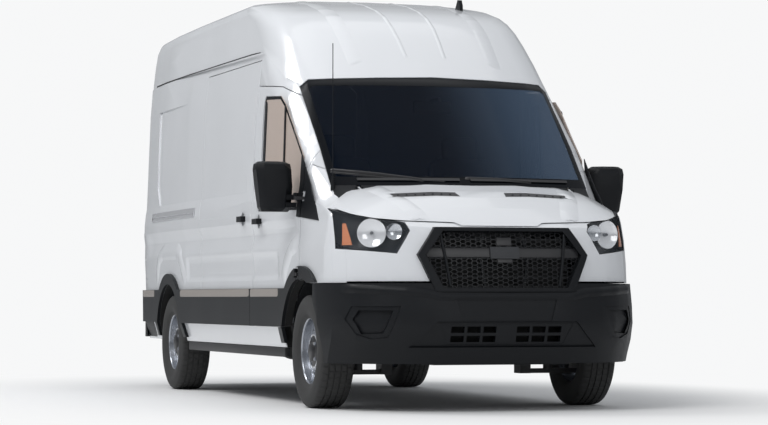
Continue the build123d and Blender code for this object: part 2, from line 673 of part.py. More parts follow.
def mirror_unit():
    """Door mirror: rounded, tapering head on two arms, standing off the sail panel."""
    wires = []
    for z, low_x, high_x, front, back in ((1236, 1030, 1206, 1216, 1284), (1262, 1018, 1222, 1192, 1302),
                                          (1400, 1012, 1240, 1176, 1312), (1500, 1016, 1250, 1184, 1312),
                                          (1538, 1022, 1246, 1196, 1304), (1554, 1050, 1224, 1216, 1290)):
        plan = [(low_x, back), (high_x, back), (high_x, front + 34), (high_x - 44, front), (low_x + 50, front + 6),
                (low_x, front + 44)]
        wires.append(Wire.make_polygon([Vector(x, at(station), z) for x, station in plan], close=True))
    head = Solid.make_loft(wires, ruled=True)
    arms = [block(972, 1060, 1196, 1250, z, z + 32) for z in (1262, 1312)]
    plate = block(972, 990, 1184, 1262, 1244, 1356)
    return (head + arms + plate) - body_tube(-6 - seat_gap)


def build_door_trims(door_mould, door_sail):
    """Mouldings, handles and mirrors that ride on the front doors."""
    handle = block(1000, 1052, 1975, 2110, 1178, 1214)
    handle = fillet(handle.edges().filter_by(Axis.Z), 12) - body_tube(-seat_gap)
    front_hinges, rear_hinges = build_hinges()
    hinge_room = [block(990, 1100, door_hinge_station - 44, door_hinge_station + 46, z - 32, z + 32)
                  for z in door_hinge_heights]
    bar = side_prism([(1556, 1400), (1578, 1400), (1604, 1940), (1582, 1930)], 700, 1200)
    bar = ((body_tube(3) - body_tube(10 - seat_gap)) & bar & side_prism(grown(WINDOW, -4), 700, 1200))
    trims = kept(door_mould - hinge_room, 20000) + kept(door_sail, 20000) + kept(handle, 20000) + front_hinges
    trims += kept(bar, 5000)
    rear_trims = rear_hinges + [block(60, 200, tail - 95, tail - 78 + 22, 1250, 1290) - tail_block(-seat_gap)]
    write("rear_door_left_trim", *rear_trims)
    write("rear_door_right_trim", *[mirrored(t) for t in rear_trims])
    write("door_left_trim", trims)
    write("door_right_trim", [mirrored(p) for p in trims])
    unit = biggest(mirror_unit())
    write("mirror_left", unit)
    write("mirror_right", mirrored(unit))


def build_hinges():
    """Outside hinges: the fixed halves are written, the door halves are returned."""
    fixed, left_front, left_rear = [], [], []
    for z in door_hinge_heights:
        low, high = hinge_pair(door_hinge_x, door_hinge_station, z)
        web = block(960, door_hinge_x + 3, door_hinge_station - 34, door_hinge_station - 2, z - hinge_length / 2 + 1,
                    z - 2) - body_tube(-seat_gap)
        fixed.append(low + web)
        web = block(960, door_hinge_x + 3, door_hinge_station + 2, door_hinge_station + 36, z + 2,
                    z + hinge_length / 2 - 1) - body_tube(-seat_gap)
        left_front.append(high + web)
    for z in rear_hinge_heights:
        lean = (z - rear_door_bottom) * tan(radians(rear_lean))
        face = tail - rear_face_inset - lean
        low, high = hinge_pair(rear_hinge_x, face + rear_hinge_proud, z, rear_lean)
        plate = block(rear_hinge_x - 2, rear_hinge_x + 46, face - 6, face + 9, z - hinge_length / 2 + 1, z - 2)
        neck = block(rear_hinge_x - 2, rear_hinge_x + 8, face + 4, face + rear_hinge_proud,
                     z - hinge_length / 2 + 1, z - 2)
        fixed.append(low + plate + neck - tail_block(-seat_gap))
        plate = block(rear_hinge_x - 74, rear_hinge_x + 1, face - 6, face + 9, z + 2, z + hinge_length / 2 - 1)
        neck = block(rear_hinge_x - 8, rear_hinge_x + 2, face + 4, face + rear_hinge_proud, z + 2,
                     z + hinge_length / 2 - 1)
        left_rear.append(high + plate + neck - tail_block(-seat_gap))
    write("door_hinges", *fixed, *[mirrored(f) for f in fixed])
    return left_front, left_rear


def build_outside_trim():
    """Sliding door track cover and handle, roof gutters, antennas and wipers."""
    cover = side_prism([(3889, 1282), (3889, 1345), (5429, 1345), (5429, 1282)], 900, 1300)
    slot = side_prism([(3900, 1296), (3900, 1310), (5429, 1310), (5429, 1296)], 900, 1300) - body_tube(-3)
    cover = (cover & body_tube(-9)) - body_tube(-seat_gap) - slot
    write("slide_rail", mirrored(biggest(cover)))
    handle = block(1000, 1052, 2386, 2526, 1203, 1241)
    handle = chamfer(handle.edges().filter_by(Axis.Z), 10) - body_tube(-seat_gap)
    write("slide_handle", mirrored(biggest(handle)))
    strip = side_prism([(2223, 2331), (2223, 2338), (2500, 2346), (5640, 2362), (5640, 2352), (2500, 2336)], 800, 1300)
    strip = biggest((strip & body_tube(-3)) - body_tube(-seat_gap))
    write("roof_gutters", strip, mirrored(strip))

    whip_x, whip_s = -846.0, 868.0
    whip_x, whip_s = -848.0, 866.0
    foot = Pos(whip_x, at(whip_s), 1405) * Cone(17, 6, 90) - nose_form(-seat_gap) - cab_form(-seat_gap)
    whip = Pos(whip_x, at(whip_s), 1860) * Cylinder(2.8, 840)
    fin = side_prism([(2496, 2640), (2504, 2728), (2526, 2768), (2552, 2772), (2612, 2700), (2612, 2640)], 548, 572)
    write("antennas", biggest(biggest(foot) + whip), biggest(fin - cab_form(-seat_gap)))

    blades = []
    for low, high in ((-700, -60), (10, 700)):
        arm = block(low, high, 500, 1200, 1424, 1440)
        blades.append(biggest((screen_block(-11) - screen_block(1 - seat_gap)) & arm))
    write("wipers", *blades)


def build_chassis():
    """Floor, frame, axles, springs and the heavy masses."""
    inner = cab_form(body_wall + seat_gap)
    plate = inner & block(-1400, 1400, floor_front, tail - rear_face_inset - 60, rail_top, floor_height)
    wall = inner & block(-1400, 1400, floor_front, floor_front + 24, 540, 1250)
    floor = plate + wall
    liners = []
    for axle, radius, reach in ((front_axle, arch_radius_front, front_liner_reach),
                                (rear_axle, arch_radius_rear, rear_liner_reach)):
        for side in (1, -1):
            drum = cross_cylinder(radius + liner_wall, axle, tyre_radius, side * (reach - liner_wall), side * 1100)
            floor = floor - cross_cylinder(radius + liner_wall + seat_gap, axle, tyre_radius,
                                           side * (reach - liner_wall - seat_gap), side * 1400)
            hollow = cross_cylinder(radius, axle, tyre_radius, side * reach, side * 1110)
            upper = block(-1400, 1400, axle - 700, axle + 700, 470, 1200)
            liner = (drum - hollow) & upper
            if axle == front_axle:
                ahead = block(-1400, 1400, -100, door_front - moving_gap, 400, 1300)
                liner = (liner & ahead & body_tube(nose_wall + seat_gap)) + (liner & body_tube(body_wall + moving_gap))
            else:
                liner = liner & body_tube(body_wall + seat_gap)
            liners.append(biggest(liner))
    for side in (1, -1):
        floor = floor - block(*sorted((side * 880, side * 1400)), door_rear - 56, door_rear + 56, 400,
                              floor_height + 1)
        floor = floor - block(*sorted((side * (rail_x - 2), side * (rail_x + rail_width + 2))), floor_front - 10,
                              floor_front + 30, 400, rail_top)
    cab_floor = floor_height - load_floor_step
    floor = floor - block(-1400, 1400, floor_front + 24, door_rear + 60, cab_floor, floor_height + 1)
    write("floor", biggest(floor))
    write("wheel_housings", *liners)

    rails = block(rail_x, rail_x + rail_width, 160, tail - 260, rail_bottom, rail_top - seat_gap)
    frame = rails + mirrored(rails)
    front_beam = 200.0
    for station in (front_beam, front_axle - 90, 1700, 2500, 3300, 4100, rear_axle + 500, tail - 340):
        frame += block(-rail_x - 2, rail_x + 2, station, station + 90, rail_bottom + 10, rail_bottom + 80)
    for side in (1, -1):
        low, high = sorted((side * (rail_x + rail_width - 2), side * 900))
        for station in (1900, 3400):
            frame += block(low, high, station, station + 80, rail_bottom + 20, rail_top - seat_gap)
    write("frame_rails", frame)
    write("radiator", block(-440, 440, 152, front_beam - seat_gap, 400, 1040))

    engine_low, engine_high = 430.0, 1120.0
    engine = block(-270, 270, 360, 960, engine_low, engine_high) + block(-170, 170, 900, 1620, 420, 640)
    engine += block(-rail_x + seat_gap, rail_x - seat_gap, 560, 680, rail_bottom + 10, rail_bottom + 70)
    engine = engine - block(-rail_x - 5, rail_x + 5, front_axle - 90 - seat_gap, front_axle + seat_gap,
                            rail_bottom + 10 - seat_gap, rail_bottom + 80 + seat_gap)
    engine = engine - block(-300, 300, 1100, 1700, 520, 800)
    write("engine_block", biggest(engine))

    hub_depth = rim_offset - 10.0
    for side_name, side in (("left", 1), ("right", -1)):
        carrier = cross_cylinder(62, front_axle, tyre_radius, side * (kingpin_x - 50),
                                 side * (kingpin_x + hub_depth - seat_gap))
        spindle = cross_cylinder(centre_bore_radius - seat_gap, front_axle, tyre_radius, side * (kingpin_x - 60),
                                 side * (kingpin_x + rim_offset + 14))
        upright = block(*sorted((side * (kingpin_x - 70), side * (kingpin_x - 30))), front_axle - 32,
                        front_axle + 32, tyre_radius - 118, tyre_radius + 120)
        caliper = block(*sorted((side * (kingpin_x - 50), side * (kingpin_x + 14))), front_axle + 60,
                        front_axle + 150, tyre_radius - 20, tyre_radius + 60)
        shield = cross_cylinder(106, front_axle, tyre_radius, side * (kingpin_x - 16), side * (kingpin_x + 4))
        pin = Pos(side * kingpin_x, at(front_axle), tyre_radius - 79) * Cylinder(16, 78)
        write(f"knuckle_{side_name}", carrier + spindle + upright + shield + caliper + pin)

    arms = []
    for side in (1, -1):
        outer_x = kingpin_x + 8
        z = tyre_radius - 118 - seat_gap
        lower = block(*sorted((side * 430, side * outer_x)), front_axle - 26, front_axle + 26, z - 30, z)
        post = block(*sorted((side * 430, side * 500)), front_axle - 60, front_axle + 60, z - 30,
                     rail_bottom - seat_gap)
        foot = Pos(side * strut_x, at(front_axle), z - 15)
        strut = foot * Pos(0, 0, 340) * Cylinder(28, 680) + foot * Pos(0, 0, 420) * Cylinder(60, 170)
        arms.append(lower + post + strut)
    write("front_suspension", *[a & cross_cylinder(arch_radius_front - seat_gap, front_axle, tyre_radius, -1300, 1300)
                                for a in arms])

    flange = track_rear / 2 + hub_depth - seat_gap
    beam = cross_cylinder(46, rear_axle, tyre_radius, -flange, flange)
    beam += Pos(0, at(rear_axle), tyre_radius) * Rot(X=90) * Cylinder(140, 190)
    for side in (1, -1):
        beam += cross_cylinder(62, rear_axle, tyre_radius, side * (track_rear / 2 - 40), side * flange)
        beam += cross_cylinder(140, rear_axle, tyre_radius, side * (track_rear / 2 - 50), side * (track_rear / 2 + 6))
        beam += cross_cylinder(centre_bore_radius - seat_gap, rear_axle, tyre_radius, side * (track_rear / 2),
                               side * (track_rear / 2 + rim_offset + 14))
    write("rear_axle", beam)
    springs = []
    for side in (1, -1):
        x = rail_x + rail_width / 2
        low, high = tyre_radius + 46 + seat_gap, tyre_radius + 46 + seat_gap + 42
        leaf = Polyline((at(rear_axle - 720), high + 60), (at(rear_axle - 120), low), (at(rear_axle + 120), low),
                        (at(rear_axle + 640), high + 70), (at(rear_axle + 640), high + 94), (at(rear_axle + 120), high),
                        (at(rear_axle - 120), high), (at(rear_axle - 720), high + 84), close=True)
        leaf = extrude(Plane.YZ.offset(side * x - 35) * make_face(leaf), amount=70)
        hangers = [block(side * x - 30, side * x + 30, s - 30, s + 30, high + 66, rail_bottom)
                   for s in (rear_axle - 705, rear_axle + 625)]
        springs.append(leaf + hangers)
    write("leaf_springs", *springs)
    shaft_from, shaft_to = 1620 + seat_gap, rear_axle - 95 - seat_gap
    rise = (470 - tyre_radius) / (shaft_to - shaft_from)
    middle = Pos(0, at((shaft_from + shaft_to) / 2), (470 + tyre_radius) / 2)
    shaft = middle * Rot(X=90 - degrees(atan(rise))) * Cylinder(34, shaft_to - shaft_from + 40)
    shaft = shaft & block(-60, 60, shaft_from, shaft_to, 200, 700)
    tank = block(-420, -140, 2700, 3280, 440, rail_top - seat_gap)
    tank = chamfer(tank.edges().filter_by(Axis.Y), 40)
    silencer = block(150, 400, 2620, 3260, 470, 610)
    silencer = chamfer(silencer.edges().filter_by(Axis.Y), 45)
    pipe = Pos(275, at(2700), 510) * Rot(X=90) * Cylinder(30, 1500)
    hanger = block(262, 288, 3000, 3030, 560, rail_top - seat_gap)
    write("underbody_units", shaft, biggest(tank), biggest(silencer + pipe + hanger))


def build_interior():
    """Seats, dashboard and steering wheel seen through the glass."""
    seats = []
    for x in (-440.0, 440.0):
        base = block(x - 200, x + 200, 1650, 2080, floor_height - load_floor_step + seat_gap, 920)
        cushion = block(x - 240, x + 240, 1600, 2110, 920, 1050)
        back = Pos(x, at(2120), 1320) * Rot(X=-12) * Box(470, 110, 640)
        rest = Pos(x, at(2190), 1700) * Rot(X=-12) * Box(260, 80, 180)
        post = Pos(x, at(2165), 1600) * Rot(X=-12) * Box(160, 30, 120)
        seats.append(base + cushion + back + post + rest)
    write("seats", *seats)
    front = floor_front + 24 + seat_gap
    outline = [(790, 1372), (780, 1344), (floor_front - 20, 1300), (floor_front - 20, 1250 + seat_gap),
               (front, 1250 + seat_gap), (front, 900), (1230, 930), (1320, 1180), (1310, 1300), (1200, 1372)]
    dash = side_prism(outline, -850, 850) & cab_form(62)
    column_at = Pos(400, at(1400), 1250) * Rot(X=-62)
    column = column_at * Pos(0, 0, -95) * Cylinder(24, 190)
    rim = column_at * Pos(0, 0, 20) * (Cylinder(198, 26) - Cylinder(172, 30))
    hub = column_at * Pos(0, 0, 10) * Cylinder(52, 30)
    spokes = column_at * Pos(0, 0, 14) * Box(350, 34, 14)
    bore = column_at * Pos(0, 0, -95) * Cylinder(24 + seat_gap, 191)
    write("dashboard", biggest(dash - bore))
    write("steering_wheel", column + rim + hub + spokes)
    glass_back = screen_block(1 + glass_thickness + seat_gap)
    stalk = block(-12, 12, 1280, 1470, 1960, 1990) & glass_back
    rear_view = block(-125, 125, 1446, 1476, 1900, 1976)
    write("interior_mirror", biggest(stalk + rear_view))


os.makedirs("parts", exist_ok=True)
build_body()
door_mould, door_sail = build_bumpers()
build_door_trims(door_mould, door_sail)
build_outside_trim()
build_chassis()
build_interior()
build_wheels()
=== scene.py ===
"""Dressed scene of a white high-roof panel van: finishes, fine pieces, studio and camera."""

import json
import logging
from dataclasses import dataclass, field
from enum import Enum
from math import cos, hypot, pi, radians, sin
from typing import Callable, Iterable, Sequence

import bmesh
import bpy
from mathutils import Matrix, Vector
from mathutils.bvhtree import BVHTree

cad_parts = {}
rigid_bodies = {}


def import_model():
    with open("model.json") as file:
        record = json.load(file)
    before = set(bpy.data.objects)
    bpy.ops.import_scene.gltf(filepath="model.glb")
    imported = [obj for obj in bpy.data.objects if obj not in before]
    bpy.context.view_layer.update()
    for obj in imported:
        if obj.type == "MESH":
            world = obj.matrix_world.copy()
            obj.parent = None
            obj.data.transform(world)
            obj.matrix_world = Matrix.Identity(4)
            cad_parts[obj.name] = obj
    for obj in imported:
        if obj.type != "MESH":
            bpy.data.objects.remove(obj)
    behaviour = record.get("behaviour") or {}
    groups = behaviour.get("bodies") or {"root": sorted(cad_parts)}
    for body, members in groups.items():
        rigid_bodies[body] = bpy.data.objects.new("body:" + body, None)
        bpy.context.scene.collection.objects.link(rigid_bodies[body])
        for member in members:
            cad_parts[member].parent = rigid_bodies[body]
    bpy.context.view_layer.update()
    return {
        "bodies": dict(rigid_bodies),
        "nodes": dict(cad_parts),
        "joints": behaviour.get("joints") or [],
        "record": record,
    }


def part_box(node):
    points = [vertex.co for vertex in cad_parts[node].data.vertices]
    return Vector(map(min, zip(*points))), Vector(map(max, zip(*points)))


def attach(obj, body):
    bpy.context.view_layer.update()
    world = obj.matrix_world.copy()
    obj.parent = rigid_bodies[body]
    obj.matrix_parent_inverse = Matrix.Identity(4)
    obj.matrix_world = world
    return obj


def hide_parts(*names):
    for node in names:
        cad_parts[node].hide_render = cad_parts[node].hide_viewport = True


log = logging.getLogger("van")

Point = tuple[float, float, float]
Pair = tuple[float, float]

NOSE = -2.9905
FRONT_AXLE = NOSE + 1.023
REAR_AXLE = FRONT_AXLE + 3.75
AXLE_HEIGHT = 0.356
ARCH_REACH = 0.62
ARCH_TOP = 0.95
ARCH_FACING = 0.5
SIDE_FACING = 0.6
DOWN = Vector((0, 0, -1))
BACKWARDS = Vector((0, 1, 0))
SAME_PLACE = 1e-6


def spot(x: float, station: float, height: float) -> Vector:
    """Point in the row frame from millimetres across, behind the front bumper and above the ground.

    Args:
        x: Place across the van, positive on its left.
        station: Distance behind the front bumper.
        height: Height above the ground.

    Returns:
        The point in metres.
    """
    return Vector((x / 1000, NOSE + station / 1000, height / 1000))


def reading(value: float, table: Sequence[Pair]) -> float:
    """Value read from a table of pairs, with straight lines between them.

    Args:
        value: Place on the table's first column.
        table: Pairs in rising order.

    Returns:
        The second column's value.
    """
    for (low, start), (high, end) in zip(table, table[1:]):
        if value <= high:
            return start + (end - start) * (value - low) / (high - low)
    return table[-1][1]


class Side(Enum):
    """Side of the van."""

    LEFT = 1
    RIGHT = -1

    @property
    def word(self) -> str:
        """Name used in node and body names."""
        return self.name.lower()


# ------------------------------------------------------------------ finishes
def add_node(tree: bpy.types.NodeTree, kind: str, setup: dict | None = None, values: dict | None = None,
         feeds: dict | None = None) -> bpy.types.Node:
    """Add a shader node, set it up and wire its inputs.

    Args:
        tree: Node tree that gets the node.
        kind: Node type without its ShaderNode prefix.
        setup: Attributes of the node itself, by name.
        values: Plain input values, by socket name or number.
        feeds: Output sockets that feed its inputs, by input name or number.

    Returns:
        The new node.
    """
    made = tree.nodes.new(f"ShaderNode{kind}")
    for name, value in (setup or {}).items():
        setattr(made, name, value)
    for socket, value in (values or {}).items():
        made.inputs[socket].default_value = value
    for socket, source in (feeds or {}).items():
        tree.links.new(source, made.inputs[socket])
    return made


@dataclass(frozen=True)
class Finish:
    """Look of one kind of surface, taken from a material slot of the record."""

    name: str
    slot: str
    color: Point
    roughness: float = 0.5
    metallic: float = 0.0
    coat: float = 0.0
    alpha: float = 1.0
    grain_scale: float = 40.0
    grain_bump: float = 0.0
    tone: float = 0.04
    shine: float = 0.5
    # Colour that the base colour blends into towards the van's left: a painted reflection.
    sweep: Point | None = None

    def material(self) -> bpy.types.Material:
        """Material of this finish, made once.

        Returns:
            The Blender material.
        """
        known = bpy.data.materials.get(self.name)
        if known:
            return known
        material = bpy.data.materials.new(self.name)
        material.use_nodes = True
        tree = material.node_tree
        shader = tree.nodes["Principled BSDF"]
        for socket, value in (("Metallic", self.metallic), ("Coat Weight", self.coat), ("Coat Roughness", 0.04),
                              ("Alpha", self.alpha), ("Specular IOR Level", self.shine)):
            shader.inputs[socket].default_value = value
        grain = add_node(tree, "Group", {"node_tree": surface_grain()},
                         {"Color": (*self.color, 1), "Roughness": self.roughness, "Scale": self.grain_scale,
                          "Bump": self.grain_bump, "Tone": self.tone})
        if self.sweep:
            tree.links.new(self.swept_color(tree), grain.inputs["Color"])
        for name, socket in (("Color", "Base Color"), ("Roughness", "Roughness"), ("Normal", "Normal")):
            tree.links.new(grain.outputs[name], shader.inputs[socket])
        return material

    def swept_color(self, tree: bpy.types.NodeTree) -> bpy.types.NodeSocket:
        """Painted reflection: colour that changes across the van, from the finish's own on its right to the painted
        reflection colour on its left.

        Args:
            tree: Node tree of the material.

        Returns:
            The socket that gives the colour.
        """
        place = add_node(tree, "TexCoord")
        parts = add_node(tree, "SeparateXYZ", feeds={0: place.outputs["Object"]})
        fade = add_node(tree, "MapRange", {"interpolation_type": "SMOOTHSTEP"}, {"From Min": -0.15, "From Max": 0.95},
                        {"Value": parts.outputs["X"]})
        blend = add_node(tree, "Mix", {"data_type": "RGBA"}, {6: (*self.color, 1), 7: (*self.sweep, 1)},
                         {0: fade.outputs["Result"]})
        return blend.outputs[2]


def surface_grain() -> bpy.types.NodeTree:
    """Shared node group: slow change of tone, uneven gloss and a fine raised grain.

    Returns:
        The node group, made once.
    """
    known = bpy.data.node_groups.get("surface_grain")
    if known:
        return known
    tree = bpy.data.node_groups.new("surface_grain", "ShaderNodeTree")
    face = tree.interface
    for name, in_out, kind in (("Color", "INPUT", "Color"), ("Roughness", "INPUT", "Float"),
                               ("Scale", "INPUT", "Float"), ("Bump", "INPUT", "Float"), ("Tone", "INPUT", "Float"),
                               ("Color", "OUTPUT", "Color"), ("Roughness", "OUTPUT", "Float"),
                               ("Normal", "OUTPUT", "Vector")):
        face.new_socket(name, in_out=in_out, socket_type=f"NodeSocket{kind}")
    entry, out = tree.nodes.new("NodeGroupInput"), tree.nodes.new("NodeGroupOutput")
    place = add_node(tree, "TexCoord")
    slow = add_node(tree, "TexNoise", values={"Scale": 1.7, "Detail": 4.0}, feeds={"Vector": place.outputs["Object"]})
    fine = add_node(tree, "TexNoise", values={"Detail": 3.0},
                    feeds={"Vector": place.outputs["Object"], "Scale": entry.outputs["Scale"]})
    centred = add_node(tree, "Math", {"operation": "SUBTRACT"}, {1: 0.5}, {0: slow.outputs["Fac"]})
    share = add_node(tree, "Math", {"operation": "MULTIPLY"}, None, {0: centred.outputs[0], 1: entry.outputs["Tone"]})
    bright = add_node(tree, "Math", {"operation": "ADD"}, {1: 1.0}, {0: share.outputs[0]})
    tint = add_node(tree, "VectorMath", {"operation": "SCALE"}, None,
                    {0: entry.outputs["Color"], "Scale": bright.outputs[0]})
    uneven = add_node(tree, "Math", {"operation": "MULTIPLY_ADD", "use_clamp": True}, {1: 0.12},
                      {0: centred.outputs[0], 2: entry.outputs["Roughness"]})
    bump = add_node(tree, "Bump", None, {"Distance": 0.001},
                    {"Strength": entry.outputs["Bump"], "Height": fine.outputs["Fac"]})
    for name, source in (("Color", tint), ("Roughness", uneven), ("Normal", bump)):
        tree.links.new(source.outputs[0], out.inputs[name])
    return tree


WHITE = Finish("white_enamel", "white_paint", (0.76, 0.775, 0.80), 0.22, coat=0.6, grain_scale=900, grain_bump=0.02,
               tone=0.02)
BLACK = Finish("grained_black", "black_plastic", (0.009, 0.010, 0.012), 0.42, grain_scale=1400, grain_bump=0.35,
               tone=0.25, shine=0.2)
SATIN_BLACK = Finish("satin_black", "black_plastic", (0.018, 0.018, 0.020), 0.32, grain_scale=900, grain_bump=0.05)
DEEP_BLACK = Finish("shadow_black", "black_plastic", (0.008, 0.008, 0.008), 0.8, grain_scale=300, grain_bump=0.1)
TINT = Finish("tinted_glass", "glass_dark", (0.004, 0.007, 0.012), 0.03, alpha=0.88, tone=0.1, shine=0.25)
# Windscreen: its colour runs from near black on the van's right to pale blue on its left, a painted reflection of the
# sky.
SCREEN = Finish("screen_glass", "glass_dark", (0.003, 0.006, 0.013), 0.05, alpha=0.66, tone=0.1, shine=0.05,
                sweep=(0.085, 0.13, 0.20))
CLEAR = Finish("clear_lens", "lens_clear", (0.45, 0.50, 0.56), 0.03, alpha=0.03, shine=0.25)
BOWL = Finish("lamp_mirror", "lamp_bowl", (0.62, 0.64, 0.67), 0.14, metallic=1.0)
LAMP_GREY = Finish("lamp_housing", "lamp_bowl", (0.16, 0.17, 0.18), 0.3, metallic=0.5)
RED = Finish("red_lens", "lamp_red", (0.42, 0.012, 0.012), 0.12, coat=0.5)
AMBER = Finish("amber_lens", "lamp_red", (0.62, 0.22, 0.10), 0.15, coat=0.4)
STEEL = Finish("wheel_silver", "steel_wheel", (0.42, 0.44, 0.48), 0.24, metallic=0.85, grain_scale=700,
               grain_bump=0.05)
RUBBER = Finish("tyre_rubber", "tyre_rubber", (0.010, 0.010, 0.011), 0.66, grain_scale=500, grain_bump=0.3,
                tone=0.3, shine=0.3)
CHASSIS = Finish("chassis_black", "black_steel", (0.025, 0.025, 0.027), 0.5, grain_scale=220, grain_bump=0.3,
                 tone=0.3)
CAST = Finish("cast_metal", "cast_metal", (0.12, 0.12, 0.125), 0.6, metallic=0.4, grain_scale=260, grain_bump=0.4,
              tone=0.3)
ENGINE = Finish("engine_metal", "engine_metal", (0.17, 0.17, 0.175), 0.55, metallic=0.5, grain_scale=200,
                grain_bump=0.4, tone=0.3)
FLOOR_SHEET = Finish("floor_sheet", "floor_grey", (0.24, 0.25, 0.26), 0.5, grain_scale=160, grain_bump=0.3,
                     tone=0.1)
CLOTH = Finish("seat_cloth", "seat_fabric", (0.085, 0.086, 0.094), 0.9, grain_scale=1500, grain_bump=0.7, tone=0.2)
DASH = Finish("dash_grain", "dash_plastic", (0.045, 0.046, 0.05), 0.6, grain_scale=1300, grain_bump=0.35, tone=0.1)
TRACK = Finish("bright_track", "track_metal", (0.72, 0.73, 0.75), 0.22, metallic=0.6)
CHROME = Finish("lamp_chrome", "lamp_bowl", (0.93, 0.94, 0.96), 0.12, metallic=0.45, tone=0.0)
BEZEL = Finish("lamp_bezel", "black_plastic", (0.012, 0.013, 0.016), 0.28, grain_scale=500, grain_bump=0.05)
# Door windows: pale warm beige glass, a painted reflection of bright surroundings.
SIDE_GLASS_PAINTED_REFLECTION = Finish("side_window_glass", "glass_dark", (0.60, 0.50, 0.44), 0.06, alpha=0.82, tone=0.1, shine=0.4)
# Pale band on the cladding's top bevel: a painted highlight where the bevel faces up.
LEDGE_PAINTED_HIGHLIGHT = Finish("worn_ledge", "black_plastic", (0.30, 0.272, 0.25), 0.5, grain_scale=1400, grain_bump=0.3, tone=0.15)
FRIT = Finish("glass_border", "glass_dark", (0.003, 0.004, 0.006), 0.25, shine=0.08)
GREY_PLASTIC = Finish("grey_plastic", "black_plastic", (0.026, 0.028, 0.032), 0.45, grain_scale=1400,
                      grain_bump=0.3)
HEAD_CLOTH = Finish("headrest_cloth", "seat_fabric", (0.13, 0.131, 0.14), 0.85, grain_scale=1500, grain_bump=0.6,
                    tone=0.15)
MIRROR_GLASS = Finish("mirror_glass", "lamp_bowl", (0.75, 0.77, 0.79), 0.03, metallic=1.0, tone=0.0)

NODE_FINISH: dict[str, Finish] = {
    "white_paint": WHITE, "black_plastic": BLACK, "glass_dark": TINT, "lens_clear": CLEAR, "lamp_bowl": BOWL,
    "lamp_red": RED, "steel_wheel": STEEL, "tyre_rubber": RUBBER, "black_steel": CHASSIS, "cast_metal": CAST,
    "engine_metal": ENGINE, "floor_grey": FLOOR_SHEET, "seat_fabric": CLOTH, "dash_plastic": DASH,
    "track_metal": TRACK,
}


@dataclass(frozen=True)
class SecondFinish:
    """Finish that some faces of a skin have instead of its main one."""

    finish: Finish
    chosen: Callable[[bmesh.types.BMFace], bool]


def in_arch(face: bmesh.types.BMFace) -> bool:
    """Whether a face looks at a road wheel from close by.

    Args:
        face: Face of a body panel.

    Returns:
        True inside the wheel arches.
    """
    middle = face.calc_center_median()
    for axle in (FRONT_AXLE, REAR_AXLE):
        inwards = Vector((0, axle - middle.y, AXLE_HEIGHT - middle.z))
        facing = face.normal.dot(inwards.normalized()) > ARCH_FACING
        if facing and inwards.length < ARCH_REACH and middle.z < ARCH_TOP:
            return True
    return False


def looks_sideways(face: bmesh.types.BMFace) -> bool:
    """Whether a face looks to the van's left or right.

    Args:
        face: Face of a rear lamp.

    Returns:
        True on the lamp's outer and inner sides.
    """
    return abs(face.normal.x) > SIDE_FACING


# ------------------------------------------------------------------ pressed forms
def cut(bm: bmesh.types.BMesh, place: Vector | Point, normal: Vector | Point, clear: bool = False) -> None:
    """Cut a mesh along a plane.

    Args:
        bm: Mesh to cut.
        place: Point on the plane.
        normal: Direction of the plane.
        clear: Whether what lies behind the plane goes.
    """
    bmesh.ops.bisect_plane(bm, geom=[*bm.verts, *bm.edges, *bm.faces], dist=SAME_PLACE, plane_co=place,
                           plane_no=normal, clear_inner=clear)


def drop(bm: bmesh.types.BMesh, faces: Sequence[bmesh.types.BMFace]) -> None:
    """Delete some faces and what only they use.

    Args:
        bm: Mesh that loses them.
        faces: The faces.
    """
    bmesh.ops.delete(bm, geom=faces, context="FACES")


@dataclass(frozen=True)
class Pressing:
    """Shallow hollow in the body sides: how deep it is by height and by station, in millimetres."""

    by_height: tuple[Pair, ...]
    by_station: tuple[Pair, ...]

    def depth(self, place: Vector) -> float:
        """Depth of the hollow.

        Args:
            place: Point on the side.

        Returns:
            Depth in metres.
        """
        station = (place.y - NOSE) * 1000
        return max(0.0, reading(place.z * 1000, self.by_height)) * max(0.0, reading(station, self.by_station)) / 1000

    def score(self, bm: bmesh.types.BMesh) -> None:
        """Cut the mesh along the hollow's own lines so that it can take the form.

        Args:
            bm: Mesh of the side.
        """
        planes = [(spot(0, 0, height), -DOWN) for height, _ in self.by_height]
        planes += [(spot(0, station, 0), BACKWARDS) for station, _ in self.by_station]
        for place, normal in planes:
            cut(bm, place, normal)


PRESSED = ("side_left", "side_right", "sliding_door", "door_left", "door_right")
PRESSINGS = (
    Pressing(((985, 0), (1020, 3), (1055, 9), (1085, 14), (1110, 16), (1135, 14), (1165, 8), (1195, 2),
              (1225, 0)), ((1180, 0), (1260, 0.35), (1340, 0.7), (1450, 1), (5450, 1), (5600, 0.3), (5700, 0))),
    Pressing(((800, 0), (812, 2), (828, 9), (842, 12), (935, 12), (965, 8), (990, 2), (1010, 0)),
             ((1560, 0), (1585, 0.25), (1620, 0.8), (1650, 1), (4110, 1), (4140, 0.8), (4175, 0.25), (4200, 0))))


